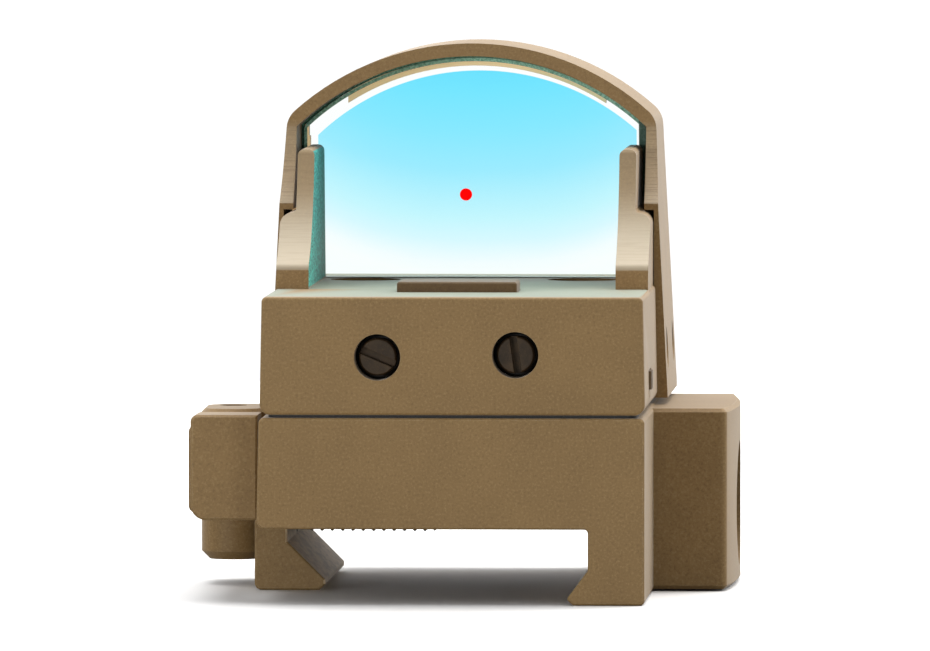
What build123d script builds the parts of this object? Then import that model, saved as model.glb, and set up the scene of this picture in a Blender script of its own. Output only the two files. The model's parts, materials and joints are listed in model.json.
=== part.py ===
"""Reflex sight on a quick-release rail mount, one STEP file per piece.

Frame: +X to the user's right, +Y forward along the rail, +Z up.
Z = 0 is the plane of the rail's top, X = 0 is the middle of the sight,
Y = 0 is the axis of the draw bolt. A "depth" is measured forward from the rear face.
Lengths are in millimetres, angles in degrees.
"""
import os
from math import cos, radians, sin, tan

from build123d import *

os.makedirs("parts", exist_ok=True)

REAR = -28.0  # Y of the rear face of the sight and of the mount


# ---------------------------------------------------------------- helpers
def ahead(depth):
    """Y of a depth."""
    return REAR + depth


def across(y):
    """Plane square to the rail, with sketch axes X and Z; a negative extrusion goes forward."""
    return Plane.XZ.offset(-y)


def side(x):
    """Upright plane along the rail, with sketch axes Y and Z; extrusion goes right."""
    return Plane.YZ.offset(x)


def level(z):
    """Horizontal plane, with sketch axes X and Y; extrusion goes up."""
    return Plane.XY.offset(z)


def circles(radius, *centres, mode=Mode.ADD):
    """Equal circles in the active sketch."""
    with Locations(*centres):
        Circle(radius, mode=mode)


def box(centre, width, height, mode=Mode.ADD):
    """Rectangle in the active sketch."""
    with Locations(centre):
        Rectangle(width, height, mode=mode)


def round_corners(sketch, radius, *corners):
    """Fillet the sketch vertices closest to the given corners."""
    vertices = sketch.vertices()
    picked = ShapeList()
    for x, y in corners:
        picked.append(min(vertices, key=lambda v: (v.X - x) ** 2 + (v.Y - y) ** 2))
    fillet(picked, radius)


def save(builder, name):
    """Label the part and write its STEP file."""
    builder.part.label = name
    export_step(builder.part, f"parts/{name}.step")


def springs_along_x(name, starts, length, turns, radius, wire_radius):
    """One piece made of equal coil springs that run right from their start points."""
    with BuildPart() as springs:
        for start in starts:
            with BuildLine() as coil:
                Helix(
                    pitch=length / turns, height=length, radius=radius,
                    center=start, direction=(1, 0, 0),
                )
            with BuildSketch(Plane(origin=coil.line @ 0, z_dir=coil.line % 0)):
                Circle(wire_radius)
            sweep(path=coil.line, is_frenet=True)
    save(springs, name)


# ---------------------------------------------------------------- shared dimensions
BASE_LEN = 46.0
DECK_TOP = 7.35
DECK_LEFT, DECK_RIGHT = -12.8, 12.7
JAW_BOTTOM = -5.0
JAW_REAR, JAW_FRONT = -11.2, 11.3  # movable jaw and boss, along the rail
JAW_MID = 0.05

HOUSE_BOTTOM, HOUSE_TOP = 7.55, 15.35
HOUSE_LEN = 41.0
HOUSE_HALF_TOP, HOUSE_HALF_BOTTOM = 12.6, 12.75

BOLT_Z = 0.35
BOLT_AXIS = (0, BOLT_Z)  # Y, Z
BOLT_R, BOLT_CORE, BOLT_PITCH = 1.98, 1.66, 0.7
BOLT_BORE_R = 2.07

# Guide pins between deck and jaw: centres in Y, Z
GUIDE_Y, GUIDE_Z, GUIDE_R = 7.6, 1.9, 0.8
GUIDES = [(-GUIDE_Y, GUIDE_Z), (GUIDE_Y, GUIDE_Z)]

# Lever pivot
PIVOT_X, PIVOT_R = -16.2, 0.9
PIVOT = (PIVOT_X, 0)

# Mounting screws, locating pins and cover screws: centres in X, Y
MOUNT_X, MOUNT_Y = 7.4, ahead(31.0)
MOUNT_SCREWS = [(-MOUNT_X, MOUNT_Y), (MOUNT_X, MOUNT_Y)]
MOUNT_SCREW_R = 1.48
PIN_X, PIN_DEPTHS, PIN_R = 10.95, (3.5, 38.5), 1.0
PINS = [(sign * PIN_X, ahead(depth)) for sign in (-1, 1) for depth in PIN_DEPTHS]
COVER_SCREW_X, COVER_SCREW_DEPTHS = 8.4, (5.4, 14.2)
COVER_SCREWS = [
    (sign * COVER_SCREW_X, ahead(depth)) for depth in COVER_SCREW_DEPTHS for sign in (-1, 1)
]

# Hood screws: centres in Y, Z
HOOD_SCREW_DEPTHS, HOOD_SCREW_Z = (26.5, 37.5), 11.0
HOOD_SCREWS = [(ahead(depth), HOOD_SCREW_Z) for depth in HOOD_SCREW_DEPTHS]

# Reticle adjusters and light sensor: centres in X, Z
ELEVATION = (-4.95, 11.37)
WINDAGE = (4.17, 11.53)
SENSOR = (0, 11.5)

# Battery bay, an upright cylinder: centre in X, Y
BAY, BAY_R = (0, ahead(22.8)), 8.3

# Emitter pocket in the housing's deck: centre of its cover in X, Y
EMITTER_COVER = (-0.1, ahead(10.95))

# ================================================================ MOUNT
# ---- deck with the fixed jaw on its right, and the boss that houses the nut
FIXED_JAW_X = 8.96  # inner face above the slope
FIXED_JAW_SLOPE_TOP = -2.73
FIXED_JAW_TIP = (7.55, -4.6)
FIXED_JAW_HEEL = (8.0, JAW_BOTTOM)
DECK_BOTTOM_LEFT = (-12.95, 0)

BOSS_BOTTOM, BOSS_HEIGHT = -4.88, 12.13
BOSS_TOP = BOSS_BOTTOM + BOSS_HEIGHT
BOSS_INNER_X, BOSS_CORNER_X, BOSS_BOW_X = 12.0, 17.6, 18.15

JAW_POCKET = (-12.0, JAW_MID)
JAW_POCKET_SIZE = (6.6, 22.8)
JAW_POCKET_BOTTOM, JAW_POCKET_HEIGHT = -1.0, 4.65
BOLT_GROOVE_LEFT, BOLT_GROOVE_RIGHT = -14.0, 8.9
BOLT_GROOVE_DEPTH = 2.0  # below the rail's top plane
NUT_BORE_X, NUT_BORE_R = 14.3, 4.25
GUIDE_BORE_LEFT = -8.8
SPRING_POCKET_R, SPRING_POCKET_DEPTH = 1.5, 3.4

with BuildPart() as mount_base:
    with BuildSketch(across(REAR)) as sketch:
        with BuildLine():
            Polyline(
                (DECK_LEFT, DECK_TOP), (DECK_RIGHT, DECK_TOP), (DECK_RIGHT, JAW_BOTTOM),
                FIXED_JAW_HEEL, FIXED_JAW_TIP, (FIXED_JAW_X, FIXED_JAW_SLOPE_TOP),
                (FIXED_JAW_X, 0), DECK_BOTTOM_LEFT, close=True,
            )
        make_face()
        round_corners(sketch, 0.6, DECK_BOTTOM_LEFT)
        round_corners(sketch, 0.35, (DECK_LEFT, DECK_TOP), (DECK_RIGHT, DECK_TOP))
        round_corners(sketch, 0.3, (DECK_RIGHT, JAW_BOTTOM))
        round_corners(sketch, 0.25, (FIXED_JAW_X, 0), (FIXED_JAW_X, FIXED_JAW_SLOPE_TOP))
        round_corners(sketch, 0.18, FIXED_JAW_TIP, FIXED_JAW_HEEL)
    extrude(amount=-BASE_LEN)
    chamfer(mount_base.faces().sort_by(Axis.Y)[0].edges(), 0.12)
    # boss, its outer wall slightly bowed
    with BuildSketch(level(BOSS_BOTTOM)) as sketch:
        rear_corner = (BOSS_CORNER_X, JAW_REAR)
        front_corner = (BOSS_CORNER_X, JAW_FRONT)
        with BuildLine():
            Polyline(
                rear_corner, (BOSS_INNER_X, JAW_REAR), (BOSS_INNER_X, JAW_FRONT), front_corner
            )
            ThreePointArc(front_corner, (BOSS_BOW_X, JAW_MID), rear_corner)
        make_face()
        round_corners(sketch, 0.45, rear_corner, front_corner)
    extrude(amount=BOSS_HEIGHT)
    boss_edges = mount_base.edges().filter_by(
        lambda edge: 13.0 < edge.center().X < 18.6
        and min(abs(edge.center().Z - BOSS_BOTTOM), abs(edge.center().Z - BOSS_TOP)) < 0.01
    )
    chamfer(boss_edges, 0.25)
    # pocket for the movable jaw, open to the left and below
    with BuildSketch(level(JAW_POCKET_BOTTOM)):
        box(JAW_POCKET, *JAW_POCKET_SIZE)
    extrude(amount=JAW_POCKET_HEIGHT, mode=Mode.SUBTRACT)
    # groove and bore for the draw bolt
    with BuildSketch(side(BOLT_GROOVE_LEFT)):
        circles(BOLT_BORE_R, BOLT_AXIS)
        box(
            (0, (BOLT_Z - BOLT_GROOVE_DEPTH) / 2),
            2 * BOLT_BORE_R, BOLT_Z + BOLT_GROOVE_DEPTH,
        )
    extrude(amount=BOLT_GROOVE_RIGHT - BOLT_GROOVE_LEFT, mode=Mode.SUBTRACT)
    with BuildSketch(side(8.0)):
        circles(BOLT_BORE_R, BOLT_AXIS)
    extrude(amount=8.0, mode=Mode.SUBTRACT)
    # counterbore for washer and nut
    with BuildSketch(side(NUT_BORE_X)):
        circles(NUT_BORE_R, BOLT_AXIS)
    extrude(amount=5.0, mode=Mode.SUBTRACT)
    # guide pin bores with wider spring pockets
    with BuildSketch(side(GUIDE_BORE_LEFT)):
        circles(GUIDE_R + 0.02, *GUIDES)
    extrude(amount=5.7, mode=Mode.SUBTRACT)
    with BuildSketch(side(GUIDE_BORE_LEFT)):
        circles(SPRING_POCKET_R, *GUIDES)
    extrude(amount=SPRING_POCKET_DEPTH, mode=Mode.SUBTRACT)
    # holes for the mounting screws and the locating pins
    with BuildSketch(level(DECK_TOP)):
        circles(MOUNT_SCREW_R + 0.04, *MOUNT_SCREWS)
    extrude(amount=-2.95, mode=Mode.SUBTRACT)
    with BuildSketch(level(DECK_TOP)):
        circles(PIN_R + 0.01, *PINS)
    extrude(amount=-2.15, mode=Mode.SUBTRACT)
save(mount_base, "mount_base")

# ---- movable jaw: tongue in the deck's pocket, V slope that grips the rail
CLAMP_LEFT, CLAMP_TOP = -14.1, 3.5
TONGUE_RIGHT = -8.95
CLAMP_THROAT = (-11.9, 0.1)
CLAMP_TIP = (-9.35, -4.3)
CAM_NOTCH, CAM_NOTCH_SIZE = (-13.8, 0), (2.0, 12.8)
CAM_NOTCH_BOTTOM = -3.6

with BuildPart() as clamp_jaw:
    with BuildSketch(across(JAW_REAR)) as sketch:
        with BuildLine():
            Polyline(
                (CLAMP_LEFT, CLAMP_TOP), (TONGUE_RIGHT, CLAMP_TOP), (TONGUE_RIGHT, 0.1),
                CLAMP_THROAT, (-11.9, -1.75), CLAMP_TIP, (-9.35, -4.62),
                (-9.75, JAW_BOTTOM), (CLAMP_LEFT, JAW_BOTTOM), close=True,
            )
        make_face()
        round_corners(sketch, 0.45, (CLAMP_LEFT, JAW_BOTTOM))
        round_corners(sketch, 0.3, (CLAMP_LEFT, CLAMP_TOP))
        round_corners(sketch, 0.15, CLAMP_TIP)
        round_corners(sketch, 0.1, CLAMP_THROAT)
    extrude(amount=JAW_REAR - JAW_FRONT)
    chamfer(clamp_jaw.faces().sort_by(Axis.Y)[0].edges(), 0.12)
    # notch that the cam of the lever works in
    with BuildSketch(level(CAM_NOTCH_BOTTOM)):
        box(CAM_NOTCH, *CAM_NOTCH_SIZE)
    extrude(amount=8.0, mode=Mode.SUBTRACT)
    # through bores for the bolt and the guide pins
    with BuildSketch(side(-15.0)):
        circles(BOLT_BORE_R, BOLT_AXIS)
    extrude(amount=7.0, mode=Mode.SUBTRACT)
    with BuildSketch(side(-15.0)):
        circles(GUIDE_R + 0.05, *GUIDES)
    extrude(amount=7.0, mode=Mode.SUBTRACT)
save(clamp_jaw, "clamp_jaw")


# ---- draw bolt: flattened eye on the left, threads on both ends
def thread_teeth(start, end):
    """X and Z of ring grooves at the thread's pitch, and the X where they stop."""
    points, x, crest, root = [], start, BOLT_Z + BOLT_R, BOLT_Z + BOLT_CORE
    while x + BOLT_PITCH <= end + 1e-6:
        points += [
            (x + 0.06, crest), (x + BOLT_PITCH / 2 - 0.06, root),
            (x + BOLT_PITCH / 2 + 0.06, root), (x + BOLT_PITCH - 0.06, crest),
        ]
        x += BOLT_PITCH
    return points, x


BOLT_LEFT, BOLT_RIGHT = -12.7, 17.75
COLLAR_R, SHANK_R = 1.9, 1.85
EYE_R, EYE_THICK = 1.95, 2.4
NECK_RIGHT, NECK_WIDTH = -12.6, 3.1

left_teeth, left_end = thread_teeth(-10.9, -2.4)
right_teeth, right_end = thread_teeth(10.9, 17.3)
with BuildPart() as draw_bolt:
    with BuildSketch(Plane.XZ):
        with BuildLine():
            Polyline(
                (BOLT_LEFT, BOLT_Z), (BOLT_LEFT, BOLT_Z + COLLAR_R), (-11.1, BOLT_Z + COLLAR_R),
                *left_teeth,
                (left_end + 0.1, BOLT_Z + SHANK_R), (10.8, BOLT_Z + SHANK_R),
                *right_teeth,
                (right_end + 0.1, BOLT_Z + 1.75), (BOLT_RIGHT, BOLT_Z + 1.55),
                (BOLT_RIGHT, BOLT_Z), close=True,
            )
        make_face()
    revolve(axis=Axis((0, 0, BOLT_Z), (1, 0, 0)))
    with BuildSketch(level(BOLT_Z - EYE_THICK / 2)):
        circles(EYE_R, PIVOT)
        box(((PIVOT_X + NECK_RIGHT) / 2, 0), NECK_RIGHT - PIVOT_X, NECK_WIDTH)
    extrude(amount=EYE_THICK)
    with BuildSketch(level(BOLT_Z - 2)):
        circles(PIVOT_R + 0.005, PIVOT)
    extrude(amount=4.0, mode=Mode.SUBTRACT)
save(draw_bolt, "draw_bolt")

# ---- nut and washer in the boss
NUT_LEFT, NUT_THICK, NUT_FLAT_R, NUT_ROUND_R, NUT_BORE = 14.66, 3.1, 3.5, 3.95, 2.03
WASHER_LEFT, WASHER_THICK, WASHER_R = 14.31, 0.33, 4.1

with BuildPart() as tension_nut:
    with BuildSketch(side(NUT_LEFT)):
        with Locations(BOLT_AXIS):
            RegularPolygon(NUT_FLAT_R, 6, major_radius=False)
            Circle(NUT_BORE, mode=Mode.SUBTRACT)
    extrude(amount=NUT_THICK)
    # corners turned down to a cylinder
    with BuildSketch(side(14.0)):
        circles(NUT_ROUND_R, BOLT_AXIS)
    extrude(amount=5.0, mode=Mode.INTERSECT)
    bore_rims = tension_nut.edges().filter_by(GeomType.CIRCLE).filter_by(
        lambda edge: abs(edge.radius - NUT_BORE) < 0.01
    )
    chamfer(bore_rims.sort_by(Axis.X)[-1:], 0.25)
save(tension_nut, "tension_nut")

with BuildPart() as nut_washer:
    with BuildSketch(side(WASHER_LEFT)):
        circles(WASHER_R, BOLT_AXIS)
        circles(BOLT_BORE_R, BOLT_AXIS, mode=Mode.SUBTRACT)
    extrude(amount=WASHER_THICK)
save(nut_washer, "nut_washer")

# ---- cam lever: forked hub round the bolt's eye, tail to the rear, thumb tab
HUB_X, HUB_R = -15.6, 2.6
HUB_BOTTOM, HUB_HEIGHT = -3.3, 10.2
HEEL, HEEL_R = (-15.95, -3.7), 2.2  # round at the rear of the hub, X and Y
HUB_WEB = [(-18.18, -0.3), (-18.15, -3.7), (-13.75, -3.7), (-13.05, -0.5)]  # X, Y
TAIL_REAR, TAIL_LEN = -21.5, 18.5
TAIL_SECTION = [(-17.85, 6.6), (-14.4, 6.6), (-14.4, 0.7), (-17.85, 0.7)]  # X, Z
TAIL_START = TAIL_REAR
TAB_REAR, TAB_LEN = -25.0, 4.3
TAB_LEFT, TAB_RIGHT, TAB_TOP, TAB_BOTTOM = -17.5, -13.05, 7.4, 0.42
FORK_BOTTOM, FORK_GAP = -1.0, 2.7
FORK_SLOT, FORK_SLOT_SIZE = (-15.5, 1.35), (8.0, 7.3)

with BuildPart() as cam_lever:
    with BuildSketch(level(HUB_BOTTOM)):
        circles(HUB_R, (HUB_X, 0))
        circles(HEEL_R, HEEL)
        with BuildLine():
            Polyline(*HUB_WEB, close=True)
        make_face()
    extrude(amount=HUB_HEIGHT)
    chamfer(cam_lever.faces().sort_by(Axis.Z)[0].edges(), 0.55)
    chamfer(cam_lever.faces().sort_by(Axis.Z)[-1].edges(), 0.25)
    with BuildSketch(across(TAIL_START)) as sketch:
        with BuildLine():
            Polyline(*TAIL_SECTION, close=True)
        make_face()
        fillet(sketch.vertices(), 0.5)
    extrude(amount=-TAIL_LEN)
    with BuildSketch(across(TAB_REAR)) as sketch:
        with BuildLine():
            Polyline(
                (TAB_LEFT, TAB_TOP), (TAB_RIGHT, TAB_TOP), (TAB_RIGHT, TAB_BOTTOM),
                (TAB_LEFT, TAB_BOTTOM), close=True,
            )
        make_face()
        round_corners(sketch, 0.45, (TAB_LEFT, TAB_TOP))
        round_corners(sketch, 1.0, (TAB_LEFT, TAB_BOTTOM))
    extrude(amount=-TAB_LEN)
    chamfer(cam_lever.faces().sort_by(Axis.Y)[0].edges(), 0.15)
    # fork slot for the eye, and the pivot bore
    with BuildSketch(level(FORK_BOTTOM)):
        box(FORK_SLOT, *FORK_SLOT_SIZE)
    extrude(amount=FORK_GAP, mode=Mode.SUBTRACT)
    with BuildSketch(level(-4.0)):
        circles(PIVOT_R + 0.03, PIVOT)
    extrude(amount=12.0, mode=Mode.SUBTRACT)
save(cam_lever, "cam_lever")

# ---- pins and jaw springs
PIVOT_PIN_BOTTOM, PIVOT_PIN_LEN = -3.2, 10.0
GUIDE_LEFT, GUIDE_LEN = -13.5, 10.3
JAW_SPRING_LEFT = -8.7
LOCATING_BOTTOM, LOCATING_LEN = 5.3, 3.35

with BuildPart() as lever_pivot_pin:
    with BuildSketch(level(PIVOT_PIN_BOTTOM)):
        circles(PIVOT_R, PIVOT)
    extrude(amount=PIVOT_PIN_LEN)
    chamfer(lever_pivot_pin.edges().filter_by(GeomType.CIRCLE), 0.12)
save(lever_pivot_pin, "lever_pivot_pin")

with BuildPart() as guide_pins:
    with BuildSketch(side(GUIDE_LEFT)):
        circles(GUIDE_R, *GUIDES)
    extrude(amount=GUIDE_LEN)
    chamfer(guide_pins.edges().filter_by(GeomType.CIRCLE), 0.12)
save(guide_pins, "guide_pins")

springs_along_x(
    "jaw_springs", starts=[(JAW_SPRING_LEFT, y, z) for y, z in GUIDES],
    length=2.95, turns=4.0, radius=1.15, wire_radius=0.17,
)

with BuildPart() as locating_pins:
    with BuildSketch(level(LOCATING_BOTTOM)):
        circles(PIN_R, *PINS)
    extrude(amount=LOCATING_LEN)
    chamfer(locating_pins.edges().filter_by(GeomType.CIRCLE), 0.15)
save(locating_pins, "locating_pins")

# ---- mounting screws
SHANK_BOTTOM, SHANK_LEN = 4.55, 8.5
SCREW_HEAD_BOTTOM, SCREW_HEAD_R, SCREW_HEAD_HEIGHT = 13.02, 2.3, 1.95
HEX_FLAT_R, HEX_DEPTH = 1.0, 1.2

with BuildPart() as mounting_screws:
    with BuildSketch(level(SHANK_BOTTOM)):
        circles(MOUNT_SCREW_R, *MOUNT_SCREWS)
    extrude(amount=SHANK_LEN)
    with BuildSketch(level(SCREW_HEAD_BOTTOM)):
        circles(SCREW_HEAD_R, *MOUNT_SCREWS)
    extrude(amount=SCREW_HEAD_HEIGHT)
    chamfer(mounting_screws.faces().sort_by(Axis.Z)[-2:].edges(), 0.2)
    with BuildSketch(level(SCREW_HEAD_BOTTOM + SCREW_HEAD_HEIGHT)):
        with Locations(*MOUNT_SCREWS):
            RegularPolygon(HEX_FLAT_R, 6, major_radius=False)
    extrude(amount=-HEX_DEPTH, mode=Mode.SUBTRACT)
save(mounting_screws, "mounting_screws")

# ---- gasket between mount and sight
COVER_HALF, COVER_LEN, COVER_MID_DEPTH, COVER_LOBE_R = 9.8, 16.4, 11.8, 8.9


def cover_outline(shrink):
    """Outline of the bottom cover in the active sketch: rectangle joined to a round lobe."""
    box((0, ahead(COVER_MID_DEPTH)), 2 * (COVER_HALF - shrink), COVER_LEN - 2 * shrink)
    circles(COVER_LOBE_R - shrink, BAY)


GASKET_REAR, GASKET_FRONT = REAR + 0.45, 12.5
GASKET_WIDTH, GASKET_THICK = 24.4, 0.18

with BuildPart() as mounting_gasket:
    with BuildSketch(level(DECK_TOP + 0.01)):
        with Locations((0, (GASKET_REAR + GASKET_FRONT) / 2)):
            RectangleRounded(GASKET_WIDTH, GASKET_FRONT - GASKET_REAR, 0.6)
    extrude(amount=GASKET_THICK)
    with BuildSketch(level(DECK_TOP)):
        circles(MOUNT_SCREW_R + 0.12, *MOUNT_SCREWS)
        circles(PIN_R + 0.06, *PINS)
        cover_outline(0.5)
    extrude(amount=1.0, mode=Mode.SUBTRACT)
save(mounting_gasket, "mounting_gasket")

# ================================================================ SIGHT
# ---- lens placing, shared by wings, hood, lens and seal
ARCH_TOP, ARCH_R, ARCH_WALL = 31.5, 18.0, 1.0
ARCH_Z = ARCH_TOP - ARCH_R  # centre shared by all the arches
CELL_HALF, CELL_R = 11.84, 17.12
LIP_HALF, LIP_R = 11.42, 16.32
LENS_HALF, LENS_R = 11.66, 16.92
LENS_TILT = radians(9.46)  # top leans to the rear
LENS_FOOT, LENS_FOOT_Z = 33.6, 15.4  # depth and height of the lens's rear rim at its foot


def lens_depth(z):
    """Depth of the lens's rear rim plane at height z."""
    return LENS_FOOT - (z - LENS_FOOT_Z) * tan(LENS_TILT)


def lens_slab(start, end):
    """Side profile, in Y and Z, of a slab parallel to the lens, start and end behind its rim."""
    bottom, top = 4.0, 40.0
    return [
        (ahead(lens_depth(bottom) + start), bottom), (ahead(lens_depth(top) + start), top),
        (ahead(lens_depth(top) + end), top), (ahead(lens_depth(bottom) + end), bottom),
    ]


def arch_shoulder(half, radius):
    """Height where straight sides meet the arch."""
    return ARCH_Z + (radius**2 - half**2) ** 0.5


def tombstone(half, radius, foot):
    """Closed tombstone outline in the active line: straight sides under an arch."""
    shoulder = arch_shoulder(half, radius)
    Polyline((-half, shoulder), (-half, foot), (half, foot), (half, shoulder))
    ThreePointArc((half, shoulder), (0, ARCH_Z + radius), (-half, shoulder))


# ---- one wing (right): concave swept rear face, shoulder, thin upper part,
# front end parallel to the lens
WING_IN, WING_OUT, WING_UP = 10.27, 12.45, 11.4  # X of both faces, and of the thin part's outside
WING_FOOT, WING_STEP, WING_SHOULDER, WING_TOP = 14.8, 16.92, 20.3, 24.5
WING_REAR = ahead(13.6)
WING_SWEEP_MID, WING_SWEEP_TOP = (ahead(17.89), 19.79), (ahead(20.4), 24.3)
WING_LENS_GAP = 0.15

with BuildPart() as wing:
    with BuildSketch(side(WING_IN)) as sketch:
        with BuildLine():
            Polyline(
                WING_SWEEP_TOP, (ahead(20.55), WING_TOP),
                (ahead(lens_depth(WING_TOP) - WING_LENS_GAP), WING_TOP),
                (ahead(lens_depth(WING_FOOT) - WING_LENS_GAP), WING_FOOT),
                (WING_REAR, WING_FOOT), (WING_REAR, WING_STEP),
            )
            ThreePointArc((WING_REAR, WING_STEP), WING_SWEEP_MID, WING_SWEEP_TOP)
        make_face()
        round_corners(sketch, 0.5, (WING_REAR, WING_STEP))
    extrude(amount=WING_OUT - WING_IN)
    # thin the wing above the shoulder
    with BuildSketch(across(ahead(10.0))):
        box((WING_UP + 1.0, WING_SHOULDER + 5.0), 2.0, 10.0)
    extrude(amount=-30.0, mode=Mode.SUBTRACT)
    for x, radius in ((WING_OUT, 0.8), (WING_UP, 0.3)):
        shoulder_edges = wing.edges().filter_by(Axis.Y).filter_by(
            lambda edge: abs(edge.center().X - x) < 0.01
            and abs(edge.center().Z - WING_SHOULDER) < 0.01
        )
        fillet(shoulder_edges, radius)
    top_edges = wing.edges().filter_by(Axis.Y).filter_by(
        lambda edge: abs(edge.center().Z - WING_TOP) < 0.01
    )
    fillet(top_edges, 0.42)

# ---- housing: block with both wings, and everything cut into it
LEG_RECESS_HALF, LEG_RECESS_REAR = 12.45, ahead(22.6)
TROUGH_HALF, TROUGH_TOP = 2.6, 15.8
TROUGH_REAR, TROUGH_FRONT = ahead(13.0), ahead(24.0)
CAVITY, CAVITY_SIZE, CAVITY_HEIGHT = (-0.2, ahead(9.6)), (14.2, 10.0), 5.4
CAVITY_BOTTOM, BAY_HEIGHT = 8.0, 5.6
EMITTER_POCKET, EMITTER_POCKET_SIZE = (0, ahead(11.05)), (7.2, 4.3)
EMITTER_REBATE_SIZE = (8.1, 5.0)
ADJUSTER_HEAD_BORE_R, ADJUSTER_STEM_BORE_R = 1.53, 1.0
SENSOR_BORE_R, SENSOR_CABLE_R = 1.25, 0.6
HEAD_BORE_BOTTOM, HEAD_BORE_R = 13.0, 2.42
THREAD_HOLE_R = 0.8
SWITCH_Z = 9.55
SWITCH_SLOT, SWITCH_SLOT_SIZE = (ahead(10.0), SWITCH_Z), (4.8, 1.3)

with BuildPart() as housing:
    with BuildSketch(across(REAR)) as sketch:
        bottom_left = (-HOUSE_HALF_BOTTOM, HOUSE_BOTTOM)
        top_left = (-HOUSE_HALF_TOP, HOUSE_TOP)
        top_right = (HOUSE_HALF_TOP, HOUSE_TOP)
        bottom_right = (HOUSE_HALF_BOTTOM, HOUSE_BOTTOM)
        with BuildLine():
            Polyline(bottom_left, top_left, top_right, bottom_right, close=True)
        make_face()
        round_corners(sketch, 0.7, bottom_left, bottom_right)
        round_corners(sketch, 0.35, top_left, top_right)
    extrude(amount=-HOUSE_LEN)
    fillet(housing.faces().sort_by(Axis.Y)[0].edges(), 0.22)
    # side recesses for the hood's legs
    for sign in (-1, 1):
        with BuildSketch(level(7.0)):
            box((sign * (LEG_RECESS_HALF + 1.0), LEG_RECESS_REAR + 10.0), 2.0, 20.0)
        extrude(amount=9.0, mode=Mode.SUBTRACT)
    add(wing.part)
    add(mirror(wing.part, about=Plane.YZ, mode=Mode.PRIVATE))
    # light trough in the deck in front of the emitter
    with BuildSketch(side(-TROUGH_HALF)):
        with BuildLine():
            Polyline(
                (TROUGH_REAR, 14.55), (TROUGH_FRONT, HOUSE_TOP + 0.01),
                (TROUGH_FRONT, TROUGH_TOP), (TROUGH_REAR, TROUGH_TOP), close=True,
            )
        make_face()
    extrude(amount=2 * TROUGH_HALF, mode=Mode.SUBTRACT)
    # recess for the bottom cover, mechanism cavity and battery bay
    with BuildSketch(level(7.0)):
        cover_outline(0)
    extrude(amount=1.5, mode=Mode.SUBTRACT)
    with BuildSketch(level(CAVITY_BOTTOM)):
        box(CAVITY, *CAVITY_SIZE)
    extrude(amount=CAVITY_HEIGHT, mode=Mode.SUBTRACT)
    with BuildSketch(level(CAVITY_BOTTOM)):
        circles(BAY_R, BAY)
    extrude(amount=BAY_HEIGHT, mode=Mode.SUBTRACT)
    # emitter pocket up through the deck, with a rebate for its cover
    with BuildSketch(level(13.0)):
        box(EMITTER_POCKET, *EMITTER_POCKET_SIZE)
    extrude(amount=3.0, mode=Mode.SUBTRACT)
    with BuildSketch(level(15.0)):
        box(EMITTER_COVER, *EMITTER_REBATE_SIZE)
    extrude(amount=1.0, mode=Mode.SUBTRACT)
    # adjuster bores in the rear face
    with BuildSketch(across(REAR - 1)):
        circles(ADJUSTER_HEAD_BORE_R, ELEVATION, WINDAGE)
    extrude(amount=-4.0, mode=Mode.SUBTRACT)
    with BuildSketch(across(REAR)):
        circles(ADJUSTER_STEM_BORE_R, ELEVATION, WINDAGE)
    extrude(amount=-5.0, mode=Mode.SUBTRACT)
    # light sensor bore in the front face, and its cable hole
    with BuildSketch(across(ahead(HOUSE_LEN + 1))):
        circles(SENSOR_BORE_R, SENSOR)
    extrude(amount=5.8, mode=Mode.SUBTRACT)
    with BuildSketch(across(ahead(37))):
        circles(SENSOR_CABLE_R, SENSOR)
    extrude(amount=8.0, mode=Mode.SUBTRACT)
    # mounting screw holes with counterbores
    with BuildSketch(level(7.0)):
        circles(MOUNT_SCREW_R + 0.12, *MOUNT_SCREWS)
    extrude(amount=10.0, mode=Mode.SUBTRACT)
    with BuildSketch(level(HEAD_BORE_BOTTOM)):
        circles(HEAD_BORE_R, *MOUNT_SCREWS)
    extrude(amount=4.0, mode=Mode.SUBTRACT)
    # locating pin holes and holes for the cover screws
    with BuildSketch(level(7.0)):
        circles(PIN_R + 0.05, *PINS)
    extrude(amount=1.8, mode=Mode.SUBTRACT)
    with BuildSketch(level(CAVITY_BOTTOM)):
        circles(THREAD_HOLE_R, *COVER_SCREWS)
    extrude(amount=3.2, mode=Mode.SUBTRACT)
    # switch slot in the right wall
    with BuildSketch(side(6.5)):
        box(SWITCH_SLOT, *SWITCH_SLOT_SIZE)
    extrude(amount=8.0, mode=Mode.SUBTRACT)
    # holes for the hood screws
    for sign in (-1, 1):
        with BuildSketch(side(sign * 9.6)):
            circles(THREAD_HOLE_R, *HOOD_SCREWS)
        extrude(amount=sign * 4.0, mode=Mode.SUBTRACT)
save(housing, "housing")

# ---- hood: arch on two legs, with the lens cell and a retaining lip
LIP_OVERLAP = 0.3  # how far the lip runs into the hood's wall
LIP_START, LIP_END = 3.2, 4.1  # in front of the lens's rear rim
LIP_GAP_X, LIP_GAP_Z, LIP_GAP_SIZE = 10.15, 27.0, (2.7, 4.0)

with BuildPart() as hood_lip:
    with BuildSketch(across(ahead(28.0))):
        with BuildLine():
            tombstone(CELL_HALF + LIP_OVERLAP, CELL_R + LIP_OVERLAP, 15.4)
        make_face()
        with BuildLine():
            tombstone(LIP_HALF, LIP_R, 15.0)
        make_face(mode=Mode.SUBTRACT)
        # the lip is left out between arch and legs
        for sign in (-1, 1):
            box((sign * LIP_GAP_X, LIP_GAP_Z), *LIP_GAP_SIZE, mode=Mode.SUBTRACT)
    extrude(amount=-14.0)
    with BuildSketch(side(-20.0)):
        with BuildLine():
            Polyline(*lens_slab(LIP_START, LIP_END), close=True)
        make_face()
    extrude(amount=40.0, mode=Mode.INTERSECT)

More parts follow.
